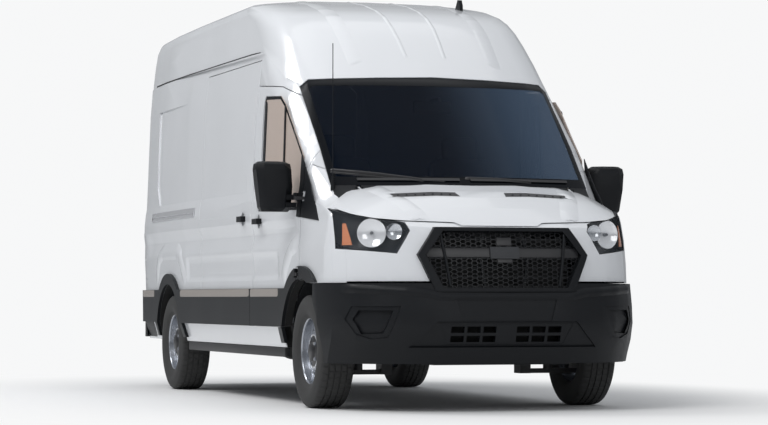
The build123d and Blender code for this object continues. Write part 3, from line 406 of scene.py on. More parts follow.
# ------------------------------------------------------------------ shop tools
class Shop:
    """Makes objects from meshes and attaches them to the frame's bodies."""

    def __init__(self, frame: dict) -> None:
        """Keep the loaded frame.
        """
        self.nodes: dict[str, bpy.types.Object] = frame["nodes"]
        self.record: dict = frame["record"]
        self.body_of = {node: body for body, members in self.record["behaviour"]["bodies"].items()
                        for node in members}
        self.slot_of = {row["node"]: row["material_slot"] for row in self.record["subparts"]}
        self.count = 0

    def piece(self, name: str, bm: bmesh.types.BMesh, finish: Finish, body: str, smooth: float = 32.0,
              replaces: Sequence[str] = ()) -> bpy.types.Object:
        """Turn a mesh under construction into a finished piece.

        Args:
            name: Piece name.
            bm: Mesh in the row frame; freed here.
            finish: Surface finish.
            body: CAD body that the piece rides on.
            smooth: Edges sharper than this many degrees stay sharp.
            replaces: CAD nodes that the piece stands for.

        Returns:
            The new object.
        """
        mesh = bpy.data.meshes.new(name)
        for face in bm.faces:
            face.smooth = True
        bm.to_mesh(mesh)
        bm.free()
        mesh.set_sharp_from_angle(angle=radians(smooth))
        mesh.materials.append(finish.material())
        thing = bpy.data.objects.new(name, mesh)
        bpy.context.scene.collection.objects.link(thing)
        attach(thing, body)
        if replaces:
            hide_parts(*replaces)
        self.count += 1
        return thing

    def merged(self, node: str) -> bmesh.types.BMesh:
        """Copy of a CAD node with its loose triangles joined and flat regions cleaned.

        Args:
            node: CAD node name.

        Returns:
            The joined mesh.
        """
        bm = bmesh.new()
        bm.from_mesh(self.nodes[node].data)
        bmesh.ops.remove_doubles(bm, verts=bm.verts, dist=2e-5)
        bmesh.ops.dissolve_limit(bm, angle_limit=radians(0.4), verts=bm.verts, edges=bm.edges)
        if node in PRESSED:
            self.press(bm)
        return bm

    def press(self, bm: bmesh.types.BMesh) -> None:
        """Push the hollows into the outer face of a body side or door.

        Args:
            bm: Mesh of the side.
        """
        tree = BVHTree.FromBMesh(bm)
        bm.verts.ensure_lookup_table()
        side = 1 if bm.verts[0].co.x > 0 else -1
        middle = (min(v.co.y for v in bm.verts) + max(v.co.y for v in bm.verts)) / 2
        nudge, wall = 0.0015, 0.060
        for pressing in PRESSINGS:
            pressing.score(bm)
        for vert in bm.verts:
            depth = max(pressing.depth(vert.co) for pressing in PRESSINGS)
            if depth <= 0.0:
                continue
            start = Vector((side * 3.0, vert.co.y + (nudge if vert.co.y < middle else -nudge), vert.co.z))
            found = tree.ray_cast(start, Vector((-side, 0, 0)))[0]
            if found is not None and vert.co.x * side > found.x * side - wall:
                vert.co.x -= side * depth

    def skin(self, node: str, finish: Finish | None = None, edge: float = 0.0015, segments: int = 1,
             second: SecondFinish | None = None, even: bool = True) -> None:
        """Replace a CAD node by its merged, edge-rounded and softly shaded copy.

        Args:
            node: CAD node name.
            finish: Finish, or the one of the node's slot.
            edge: Width of the rounding on sharp edges, in metres.
            segments: Steps of the rounding.
            second: Finish of some of its faces.
            even: Whether large faces keep a flat shade up to their rounded edges.
        """
        corner, smooth, weight = radians(50), 30.0, 80
        bm = self.merged(node)
        sharp = [e for e in bm.edges if len(e.link_faces) == 2 and e.calc_face_angle(0.0) > corner
                 and e.calc_length() > edge * 3]
        bmesh.ops.bevel(bm, geom=sharp, offset=edge, segments=segments, profile=0.5, affect="EDGES",
                        clamp_overlap=True, material=-1)
        if second:
            for face in bm.faces:
                if second.chosen(face):
                    face.material_index = 1
        thing = self.piece(f"{node}_skin", bm, finish or NODE_FINISH[self.slot_of[node]], self.body_of[node], smooth,
                           (node,))
        if second:
            thing.data.materials.append(second.finish.material())
        if even:
            weights = thing.modifiers.new("even_shading", "WEIGHTED_NORMAL")
            weights.keep_sharp = True
            weights.weight = weight


def turned(profile: Sequence[Pair], centre: Point, steps: int = 96) -> bmesh.types.BMesh:
    """Full spin of an (x, radius) profile around an axle along X.

    Args:
        profile: Pairs of place along the axle and radius.
        centre: Middle of the wheel.
        steps: Divisions of the circle.

    Returns:
        The turned mesh.
    """
    bm = bmesh.new()
    verts = [bm.verts.new((centre[0] + x, centre[1], centre[2] + r)) for x, r in profile]
    edges = [bm.edges.new(pair) for pair in zip(verts, verts[1:])]
    bmesh.ops.spin(bm, geom=verts + edges, cent=centre, axis=(1, 0, 0), angle=2 * pi, steps=steps, use_merge=True)
    bmesh.ops.remove_doubles(bm, verts=bm.verts, dist=SAME_PLACE)
    bmesh.ops.recalc_face_normals(bm, faces=bm.faces)
    return bm


def box_mesh(low: Point, high: Point, edge: float = 0.0, segments: int = 2) -> bmesh.types.BMesh:
    """Box between two corners with rounded edges.

    Args:
        low: Lowest corner.
        high: Highest corner.
        edge: Rounding width.
        segments: Rounding steps.

    Returns:
        The box mesh.
    """
    bm = bmesh.new()
    bmesh.ops.create_cube(bm, size=1.0)
    size = Vector(high) - Vector(low)
    bmesh.ops.scale(bm, vec=size, verts=bm.verts)
    bmesh.ops.translate(bm, vec=(Vector(low) + Vector(high)) / 2, verts=bm.verts)
    if edge:
        bmesh.ops.bevel(bm, geom=list(bm.edges), offset=edge, segments=segments, profile=0.5, affect="EDGES",
                        material=-1)
    return bm


def rod(start: Point, end: Point, radius: float, tip: float | None = None, sides: int = 20) -> bmesh.types.BMesh:
    """Round bar between two points.

    Args:
        start: First end.
        end: Second end.
        radius: Radius at the first end.
        tip: Radius at the second end, or the same.
        sides: Divisions around.

    Returns:
        The bar mesh.
    """
    bm = bmesh.new()
    line = Vector(end) - Vector(start)
    bmesh.ops.create_cone(bm, cap_ends=True, segments=sides, radius1=radius, radius2=radius if tip is None else tip,
                          depth=line.length)
    turn = line.to_track_quat("Z", "Y").to_matrix().to_4x4()
    middle = (Vector(start) + Vector(end)) / 2
    bmesh.ops.transform(bm, matrix=Matrix.Translation(middle) @ turn, verts=bm.verts)
    return bm


def joined(parts: Iterable[bmesh.types.BMesh]) -> bmesh.types.BMesh:
    """One mesh from several.

    Args:
        parts: Meshes, each freed here.

    Returns:
        The combined mesh.
    """
    whole = bmesh.new()
    for part in parts:
        mesh = bpy.data.meshes.new("part")
        part.to_mesh(mesh)
        part.free()
        whole.from_mesh(mesh)
        bpy.data.meshes.remove(mesh)
    return whole


class Surface:
    """Outer surface of some CAD nodes, found with rays."""

    def __init__(self, shop: Shop, *nodes: str) -> None:
        """Join the nodes' meshes for ray casting.

        Args:
            shop: The shop that knows the nodes.
            nodes: CAD node names.
        """
        whole = joined([shop.merged(node) for node in nodes])
        self.tree = BVHTree.FromBMesh(whole)
        whole.free()

    def point(self, start: Vector, way: Vector) -> tuple[Vector, Vector] | None:
        """First point that a ray meets and the outward normal there.

        Args:
            start: Place that the ray passes through.
            way: Direction of the ray.

        Returns:
            Point and normal, or None where the ray meets nothing.
        """
        place, normal, _, _ = self.tree.ray_cast(start - way * 4.0, way)
        if place is None:
            return None
        return place, -normal if normal.dot(way) > 0 else normal

    def rib(self, line: Sequence[Vector], way: Vector, width: float, height: float, steps: int = 40,
            taper: float = 0.06) -> bmesh.types.BMesh:
        """Low rounded rib that lies on the surface along a line.

        Args:
            line: Two or more points that the rib's middle passes over.
            way: Direction in which the points drop onto the surface.
            width: Full width.
            height: Rise of its middle over the surface.
            steps: Divisions along.
            taper: Share of the length over which each end runs out.

        Returns:
            The rib's mesh, its edges just under the surface.
        """
        bm = bmesh.new()
        bmesh.ops.create_grid(bm, x_segments=6, y_segments=steps, size=0.5)
        lost = []
        for vert in bm.verts:
            across, along = vert.co.x * 2, min(max(vert.co.y + 0.5, 0.0), 1.0)
            reach = along * (len(line) - 1)
            index = min(int(reach), len(line) - 2)
            start, end = line[index], line[index + 1]
            sideways = (end - start).cross(way).normalized()
            found = self.point(start.lerp(end, reach - index) + sideways * across * width / 2, way)
            if found is None:
                lost.append(vert)
                continue
            lift = height * (1 - across * across) * min(1.0, along / taper, (1 - along) / taper)
            vert.co = found[0] + found[1] * (lift - 0.0004)
        bmesh.ops.delete(bm, geom=lost, context="VERTS")
        bm.normal_update()
        upside = [f for f in bm.faces if f.normal.dot(way) > 0]
        bmesh.ops.reverse_faces(bm, faces=upside)
        return bm


# ------------------------------------------------------------------ wheels
@dataclass
class RoadWheel:
    """Tyre, steel wheel and hub cover at one corner."""

    shop: Shop
    side: Side
    front: bool
    tyre_steps: int = 240
    tread_pitch: int = 5
    hole_count: int = 15

    @property
    def body(self) -> str:
        """CAD body of this wheel."""
        return f"wheel_{'front' if self.front else 'rear'}_{self.side.word}"

    @property
    def tyre_node(self) -> str:
        """CAD node of this wheel's tyre."""
        return self.body.replace("wheel", "tyre", 1)

    @property
    def centre(self) -> Point:
        """Middle of the wheel."""
        low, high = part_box(self.tyre_node)
        return ((low.x + high.x) / 2, (low.y + high.y) / 2, (low.z + high.z) / 2)

    def outwards(self, profile: Sequence[Pair]) -> list[Pair]:
        """Profile with its outer face on this side of the van.

        Args:
            profile: Pairs of place towards the van's outside and radius.

        Returns:
            Pairs of place along X and radius.
        """
        return [(x * self.side.value, r) for x, r in profile]

    def tyre(self) -> None:
        """Tyre with a bulged side wall, rim guard and four tread grooves."""
        wall = [(0.084, 0.2040), (0.092, 0.2150), (0.0985, 0.2260), (0.1045, 0.2330), (0.1065, 0.2400),
                (0.1130, 0.2550), (0.1168, 0.2750), (0.1172, 0.2950), (0.1140, 0.3130), (0.1085, 0.3270),
                (0.1070, 0.3330), (0.1010, 0.3430), (0.0930, 0.3500)]
        tread = [(0.0840, 0.3532)]
        for groove in (0.058, 0.020):
            tread += [(groove + 0.0055, 0.3550), (groove + 0.0040, 0.3475), (groove - 0.0040, 0.3475),
                      (groove - 0.0055, 0.3554)]
        half = wall + tread
        profile = half + [(-x, r) for x, r in reversed(half)] + [half[0]]
        bm = turned(self.outwards(profile), self.centre, self.tyre_steps)
        middle = Vector(self.centre)
        middle_block, tread_root, sipe_depth = 0.055, 0.3495, 0.0055
        for vert in bm.verts:
            offset = vert.co - middle
            reach = hypot(offset.y, offset.z)
            place = round(share_of_turn(offset) * self.tyre_steps)
            shift = 2 if abs(offset.x) < middle_block else 0
            if reach > tread_root and (place + shift) % self.tread_pitch == 0:
                sunk = 1 - sipe_depth / reach
                vert.co = middle + Vector((offset.x, offset.y * sunk, offset.z * sunk))
        self.shop.piece(f"{self.tyre_node}_rubber", bm, RUBBER, self.body, 38.0, (self.tyre_node,))

    def rim(self) -> None:
        """Pressed steel rim and dished disc with hand holes."""
        barrel = [(0.0890, 0.2205), (0.0885, 0.2220), (0.0860, 0.2218), (0.0845, 0.2180), (0.0840, 0.2050),
                  (0.0700, 0.2032), (0.0500, 0.2010), (0.0300, 0.1930), (-0.0200, 0.1930), (-0.0450, 0.2010),
                  (-0.0840, 0.2032), (-0.0850, 0.2180), (-0.0885, 0.2220), (-0.0890, 0.2190), (-0.0865, 0.2000),
                  (-0.0450, 0.1975), (-0.0200, 0.1890), (0.0300, 0.1890), (0.0500, 0.1970), (0.0830, 0.1990),
                  (0.0860, 0.2060), (0.0890, 0.2205)]
        rim = turned(self.outwards(barrel), self.centre, 96)
        disc_profile = [(0.0300, 0.1900), (0.0330, 0.1840), (0.0375, 0.1780), (0.0400, 0.1680), (0.0415, 0.1580),
                        (0.0420, 0.1480), (0.0430, 0.1400), (0.0480, 0.1300), (0.0570, 0.1190), (0.0605, 0.1110),
                        (0.0600, 0.1040), (0.0600, 0.0340)]
        disc = turned(self.outwards(disc_profile), self.centre, self.hole_count * 4)
        hole_start, hole_end, hole_share = 0.147, 0.169, 0.5
        holes = []
        for face in disc.faces:
            middle = face.calc_center_median() - Vector(self.centre)
            turn = (share_of_turn(middle) * self.hole_count) % 1.0
            if hole_start < hypot(middle.y, middle.z) < hole_end and turn < hole_share:
                holes.append(face)
        drop(disc, holes)
        bmesh.ops.solidify(disc, geom=disc.faces, thickness=0.005)
        bm = joined((rim, disc))
        bmesh.ops.recalc_face_normals(bm, faces=bm.faces)
        thing = self.shop.piece(f"{self.body}_steel", bm, STEEL, self.body, 40.0, (self.body,))
        rounder = thing.modifiers.new("rounding", "SUBSURF")
        rounder.levels = rounder.render_levels = 1

    def hub(self) -> None:
        """Bright ring, black hub cover and five lug heads."""
        face, bolt_circle, bolt_count = 0.0605, 0.080, 5
        cover = [(face, 0.0960), (face + 0.004, 0.0955), (face + 0.0070, 0.0900), (face + 0.0110, 0.0640),
                 (face + 0.0200, 0.0560), (face + 0.0260, 0.0380), (face + 0.0275, 0.0200), (face + 0.0280, 0.0005)]
        bm = turned(self.outwards(cover), self.centre, 60)
        self.shop.piece(f"{self.body}_hub_cover", bm, SATIN_BLACK, self.body, 35.0)
        ring = [(face - 0.0005, 0.1065), (face + 0.0040, 0.1060), (face + 0.0055, 0.1010), (face + 0.0030, 0.0965),
                (face - 0.0005, 0.0960)]
        bm = turned(self.outwards(ring), self.centre, 72)
        self.shop.piece(f"{self.body}_bright_ring", bm, TRACK, self.body, 35.0)
        bolts = []
        x, out = self.centre[0], self.side.value
        for n in range(bolt_count):
            turn = 2 * pi * n / bolt_count
            y = self.centre[1] + bolt_circle * cos(turn)
            z = self.centre[2] + bolt_circle * sin(turn)
            bolts.append(rod((x + out * (face + 0.002), y, z), (x + out * (face + 0.0165), y, z), 0.0125, 0.0115, 6))
        self.shop.piece(f"{self.body}_lug_heads", joined(bolts), STEEL, self.body, 35.0)

    def build(self) -> None:
        """Make every piece of this wheel."""
        self.tyre()
        self.rim()
        self.hub()


def share_of_turn(offset: Vector) -> float:
    """Place of a point around its axle.

    Args:
        offset: Point seen from the middle of the wheel.

    Returns:
        Share of a full turn, from 0 up to 1.
    """
    return (Vector((offset.y, offset.z)).angle_signed(Vector((1, 0))) + 2 * pi) % (2 * pi) / (2 * pi)


# ------------------------------------------------------------------ glass
@dataclass
class Glazing:
    """Printed black borders inside the edges of the windscreen and the front door windows."""

    shop: Shop
    screen: tuple[Pair, ...] = ((-858, 1402), (-858, 2064), (-800, 2112), (800, 2112), (858, 2064), (858, 1402))
    window: tuple[Pair, ...] = ((1192, 1246), (1192, 1592), (1600, 1948), (1705, 2010), (2040, 2028), (2068, 1996),
                                (2088, 1262))

    def border(self, node: str, corners: Sequence[Pair], along: Vector, outwards: Vector, width: float) -> None:
        """Keep the outer face of a pane near its edge as a thin black print.

        Args:
            node: CAD node of the pane.
            corners: Convex outline, as pairs of place along the first direction and height, in millimetres.
            along: Direction of the first coordinate.
            outwards: Direction in which the pane's outer face looks.
            width: Width of the print in millimetres.
        """
        bm = self.shop.merged(node)
        facing, proud = 0.35, 0.0006
        inner = [f for f in bm.faces if f.normal.dot(outwards) < facing]
        drop(bm, inner)
        origin = spot(0, 0, 0) if along.y else Vector()
        centre = Vector((sum(c[0] for c in corners), sum(c[1] for c in corners))) / len(corners)
        planes = []
        for first, second in zip(corners, (*corners[1:], corners[0])):
            edge = Vector(second) - Vector(first)
            normal = Vector((-edge.y, edge.x)).normalized()
            if normal.dot(centre - Vector(first)) < 0:
                normal = -normal
            base = Vector(first) + normal * width
            place = origin + along * base.x / 1000 + Vector((0, 0, base.y / 1000))
            planes.append((place, along * normal.x + Vector((0, 0, normal.y))))
        for place, normal in planes:
            cut(bm, place, normal)
        clear = [f for f in bm.faces
                 if all((f.calc_center_median() - place).dot(normal) > 0 for place, normal in planes)]
        drop(bm, clear)
        bm.normal_update()
        for vert in bm.verts:
            vert.co += vert.normal * proud
        self.shop.piece(f"{node}_border", bm, FRIT, self.shop.body_of[node], 40.0)

    def build(self) -> None:
        """Print every border."""
        self.border("windscreen", self.screen, Vector((1, 0, 0)), Vector((0, -0.7, 0.7)), 46)
        for side in Side:
            self.border(f"door_{side.word}_glass", self.window, BACKWARDS, Vector((side.value, 0, 0)), 24)


# ------------------------------------------------------------------ front
@dataclass
class NoseFace:
    """Grille, lamps and vents of the front, placed on the nose surface."""

    shop: Shop
    levels: tuple[Pair, ...] = ((200, 50), (700, 50), (900, 66), (1050, 98), (1170, 148), (1300, 235), (1500, 390))
    plan: tuple[Pair, ...] = ((0, 0), (400, 8), (570, 42), (690, 92), (800, 178), (890, 290), (960, 415),
                              (1040, 660))
    core: tuple[Pair, ...] = ((-384, 1094), (-498, 947), (-398, 751), (398, 751), (498, 947), (384, 1094))
    cell: float = 0.0215
    cell_squash: float = 0.70
    web: float = 0.0022

    def station(self, x: float, height: float) -> float:
        """Distance of the nose surface behind the front bumper.

        Args:
            x: Place across the van in millimetres.
            height: Height in millimetres.

        Returns:
            Distance in millimetres.
        """
        return reading(height, self.levels) + reading(abs(x), self.plan)

    def on_nose(self, x: float, height: float, depth: float) -> Vector:
        """Point on the nose or behind its surface.

        Args:
            x: Place across the van in millimetres.
            height: Height in millimetres.
            depth: Distance behind the surface in millimetres.

        Returns:
            The point in metres.
        """
        return spot(x, self.station(x, height) + depth, height)

    def lattice(self) -> None:
        """Six-sided mesh in front of the grille's bars."""
        bm = bmesh.new()
        half_width, middle_height, band_height, band_half = 0.52, 0.925, 0.962, 0.030
        pitch, rise = self.cell * 1.5, self.cell * 3 ** 0.5
        columns = int(half_width / pitch) + 1
        for column in range(-columns, columns + 1):
            for row in range(-9, 10):
                place = Vector((column * pitch, (row + (column % 2) / 2) * rise, 0))
                bmesh.ops.create_circle(bm, cap_ends=True, radius=self.cell, segments=6,
                                        matrix=Matrix.Translation(place))
        bmesh.ops.remove_doubles(bm, verts=bm.verts, dist=1e-4)
        cells = list(bm.faces)
        bmesh.ops.inset_individual(bm, faces=cells, thickness=self.web)
        drop(bm, cells)
        bmesh.ops.scale(bm, vec=(1, self.cell_squash, 1), verts=bm.verts)
        bmesh.ops.rotate(bm, cent=(0, 0, 0), matrix=Matrix.Rotation(pi / 2, 3, "X"), verts=bm.verts)
        bmesh.ops.translate(bm, vec=(0, 0, middle_height), verts=bm.verts)
        for first, second in zip(self.core, (*self.core[1:], self.core[0])):
            edge = Vector((second[0] - first[0], second[1] - first[1])).normalized()
            cut(bm, (first[0] / 1000, 0, first[1] / 1000), (-edge.y, 0, edge.x), True)
        middle = [f for f in bm.faces if abs(f.calc_center_median().z - band_height) < band_half]
        drop(bm, middle)
        bmesh.ops.solidify(bm, geom=bm.faces, thickness=0.006)
        for vert in bm.verts:
            vert.co.y += self.on_nose(vert.co.x * 1000, vert.co.z * 1000, -12).y
        bmesh.ops.recalc_face_normals(bm, faces=bm.faces)
        self.shop.piece("grille_lattice", bm, BEZEL, "body", 30.0)

    def strip(self, name: str, ends: Sequence[Pair], width: float, proud: float, finish: Finish,
              thick: float = 14.0) -> None:
        """Rounded bar that follows the nose.

        Args:
            name: Piece name.
            ends: Two (x, height) points in millimetres.
            width: Width in millimetres, half of it on each side of the line.
            proud: How far it stands before the nose, in millimetres.
            finish: Surface finish.
            thick: Thickness in millimetres.
        """
        (x_low, z_low), (x_high, z_high) = ends
        bm = box_mesh((-0.5, 0, 0), (0.5, thick / 1000, width / 1000))
        long_edges = [e for e in bm.edges if abs((e.verts[0].co - e.verts[1].co).x) > 0.5]
        bmesh.ops.subdivide_edges(bm, edges=long_edges, cuts=14, use_grid_fill=True)
        rim = [e for e in bm.edges if abs((e.verts[0].co - e.verts[1].co).x) > 0.01
               and min(v.co.y for v in e.verts) < SAME_PLACE]
        bmesh.ops.bevel(bm, geom=rim, offset=min(width, thick) / 3500, segments=3, profile=0.5, affect="EDGES",
                        material=-1)
        run = Vector((x_high - x_low, z_high - z_low)).normalized()
        for vert in bm.verts:
            share = vert.co.x + 0.5
            off = vert.co.z * 1000 - width / 2
            x = x_low + (x_high - x_low) * share - run.y * off
            z = z_low + (z_high - z_low) * share + run.x * off
            vert.co = self.on_nose(x, z, vert.co.y * 1000 - proud)
        bmesh.ops.recalc_face_normals(bm, faces=bm.faces)
        self.shop.piece(name, bm, finish, "body", 40.0)

    def grille(self) -> None:
        """Lattice, uprights, centre band and the bare plate in its middle."""
        self.lattice()
        for name, half, height, width, proud, finish, thick in (
                ("band", 486, 962, 58, 10, SATIN_BLACK, 14), ("blank", 92, 962, 74, 22, GREY_PLASTIC, 16),
                ("stub_top", 46, 1030, 50, 15, SATIN_BLACK, 14), ("stub_low", 46, 914, 26, 15, SATIN_BLACK, 14)):
            self.strip(f"grille_{name}", ((-half, height), (half, height)), width, proud, finish, thick)
        for side in Side:
            across = side.value
            self.strip(f"grille_upright_{side.word}", ((across * 350, 760), (across * 400, 1088)), 16, 22, BLACK, 20)

    def lamp_housing(self) -> None:
        """Open dark housing behind each lens: the CAD body without its front face, with a deeper back."""
        facing, deeper, wall = 0.3, 0.045, 0.0015
        bm = self.shop.merged("headlamps")
        front = [f for f in bm.faces if f.normal.y < -facing]
        back = {v for f in bm.faces if f.normal.y > facing for v in f.verts}
        drop(bm, front)
        bmesh.ops.translate(bm, vec=BACKWARDS * deeper, verts=[v for v in back if v.is_valid])
        bmesh.ops.solidify(bm, geom=bm.faces, thickness=wall)
        self.shop.piece("headlamp_housings", bm, BEZEL, "body", 35.0, ("headlamps",))

    def reflector(self, name: str, side: Side, x: float, height: float, depth: float, radius: float,
                  yaw: float, capped: bool) -> None:
        """Dish of a lamp, turned a little outwards, bright and with a small bulb cap or plain.

        Args:
            name: Piece name, without the part and the side.
            side: Side of the van.
            x: Place across the van in millimetres, whatever the side.
            height: Height in millimetres.
            depth: Distance of its rim behind the nose surface in millimetres.
            radius: Radius of the rim in millimetres.
            yaw: Turn outwards in degrees.
            capped: Whether it is bright and has a bulb cap.
        """
        bowl = ((-0.30, 0.0), (-0.295, 0.30), (-0.20, 0.62), (0.0, 0.93), (0.03, 0.97), (0.02, 1.0), (-0.10, 1.0))
        cap = ((0.02, 0.0), (0.01, 0.09), (-0.06, 0.12), (-0.30, 0.12))
        smallest = 0.02
        place = self.on_nose(x, height, depth)
        place.x *= side.value
        turn = Matrix.Rotation(-pi / 2 + side.value * radians(yaw), 4, "Z")
        parts = [("dish", bowl, CHROME), ("cap", cap, LAMP_GREY)] if capped else [("dish", bowl, BOWL)]
        for part, profile, finish in parts:
            bm = turned([(along * radius / 1000, max(reach * radius, smallest) / 1000) for along, reach in profile],
                        (0, 0, 0), 48)
            bmesh.ops.transform(bm, matrix=Matrix.Translation(place) @ turn, verts=bm.verts)
            self.shop.piece(f"{name}_{part}_{side.word}", bm, finish, "body", 40.0)

    def marker(self, side: Side) -> None:
        """Amber corner reflector at the outer end of the lamp.

        Args:
            side: Side of the van.
        """
        bm = bmesh.new()
        bmesh.ops.create_grid(bm, x_segments=4, y_segments=6, size=0.5)
        for vert in bm.verts:
            share = vert.co.y + 0.5
            height = 1010 + 132 * share
            x = 893 + vert.co.x * (44 - 30 * share) + 4 * share
            place = self.on_nose(x, height, 15)
            vert.co = (side.value * place.x, place.y, place.z)
        bm.normal_update()
        bmesh.ops.reverse_faces(bm, faces=[f for f in bm.faces if f.normal.y > 0])
        bmesh.ops.solidify(bm, geom=bm.faces, thickness=0.004)
        self.shop.piece(f"corner_marker_{side.word}", bm, AMBER, "body", 40.0)

    def vents(self) -> None:
        """Dividers inside the two hood vents."""
        surface = Surface(self.shop, "hood_vents")
        inner_end, pitch, count = 205, 55, 7
        for side in Side:
            bars = []
            for step in range(count):
                across = inner_end + pitch * step
                found = surface.point(spot(side.value * across, 505 + 0.08 * (across - 366), 1300), DOWN)
                if found:
                    bars.append(box_mesh(found[0] - Vector((0.003, 0.016, 0.002)),
                                         found[0] + Vector((0.003, 0.016, 0.003))))
            if bars:
                self.shop.piece(f"vent_dividers_{side.word}", joined(bars), GREY_PLASTIC, "hood", 40.0)

    def creases(self) -> None:
        """Raised lines on the hood and along the bumper, and the wiper arms."""
        hood = Surface(self.shop, "hood")
        for side in Side:
            line = [spot(side.value * x, station, 1300)
                    for x, station in ((470, 190), (530, 360), (585, 520), (640, 760))]
            bm = hood.rib(line, DOWN, 0.120, 0.006, 40, 0.12)
            if bm.faces:
                self.shop.piece(f"hood_crease_{side.word}", bm, WHITE, "hood", 60.0)
        bumper = Surface(self.shop, "front_bumper")
        line = [spot(x, 0, height)
                for x, height in ((-940, 748), (-520, 722), (-420, 700), (420, 700), (520, 722), (940, 748))]
        bm = bumper.rib(line, BACKWARDS, 0.058, 0.013, 120, 0.03)
        self.shop.piece("bumper_lip", bm, BLACK, "body", 60.0)
        glass = Surface(self.shop, "windscreen")
        for name, line, width, height in (
                ("wiper_arm_right", ((-835, 1492), (-560, 1462), (-290, 1424)), 0.022, 0.014),
                ("wiper_blade_right", ((-845, 1478), (-500, 1436), (-150, 1420)), 0.012, 0.009),
                ("wiper_arm_left", ((-20, 1440), (200, 1436), (430, 1420)), 0.020, 0.012)):
            bm = glass.rib([spot(x, 0, z) for x, z in line], BACKWARDS, width, height, 30, 0.03)
            if bm.faces:
                self.shop.piece(name, bm, SATIN_BLACK, "body", 60.0)

    def build(self) -> None:
        """Make the front's pieces."""
        self.creases()
        self.grille()
        self.lamp_housing()
        for side in Side:
            self.reflector("main_lamp", side, 765, 1082, 50, 88, 20, True)
            self.reflector("high_lamp", side, 648, 1090, 40, 50, 10, False)
            self.marker(side)
        self.vents()


# ------------------------------------------------------------------ roof
@dataclass
class RoofRibs:
    """Long pressed ribs that run over the roof cap and back along the roof."""

    shop: Shop
    start: float = 1600.0
    end: float = 5800.0

    def build(self) -> None:
        """Lay the ribs on the roof."""
        roof = Surface(self.shop, "roof")
        for name, x, width, height in (("wide", 500, 0.105, 0.0045), ("narrow", 155, 0.030, 0.0040)):
            for side in Side:
                line = [spot(side.value * (x + lean), station, 2700)
                        for station, lean in ((self.start, -22), (1900, -8), (2400, 0), (self.end, 0))]
                bm = roof.rib(line, DOWN, width, height, 90, 0.012)
                self.shop.piece(f"roof_rib_{name}_{side.word}", bm, WHITE, "body", 60.0)


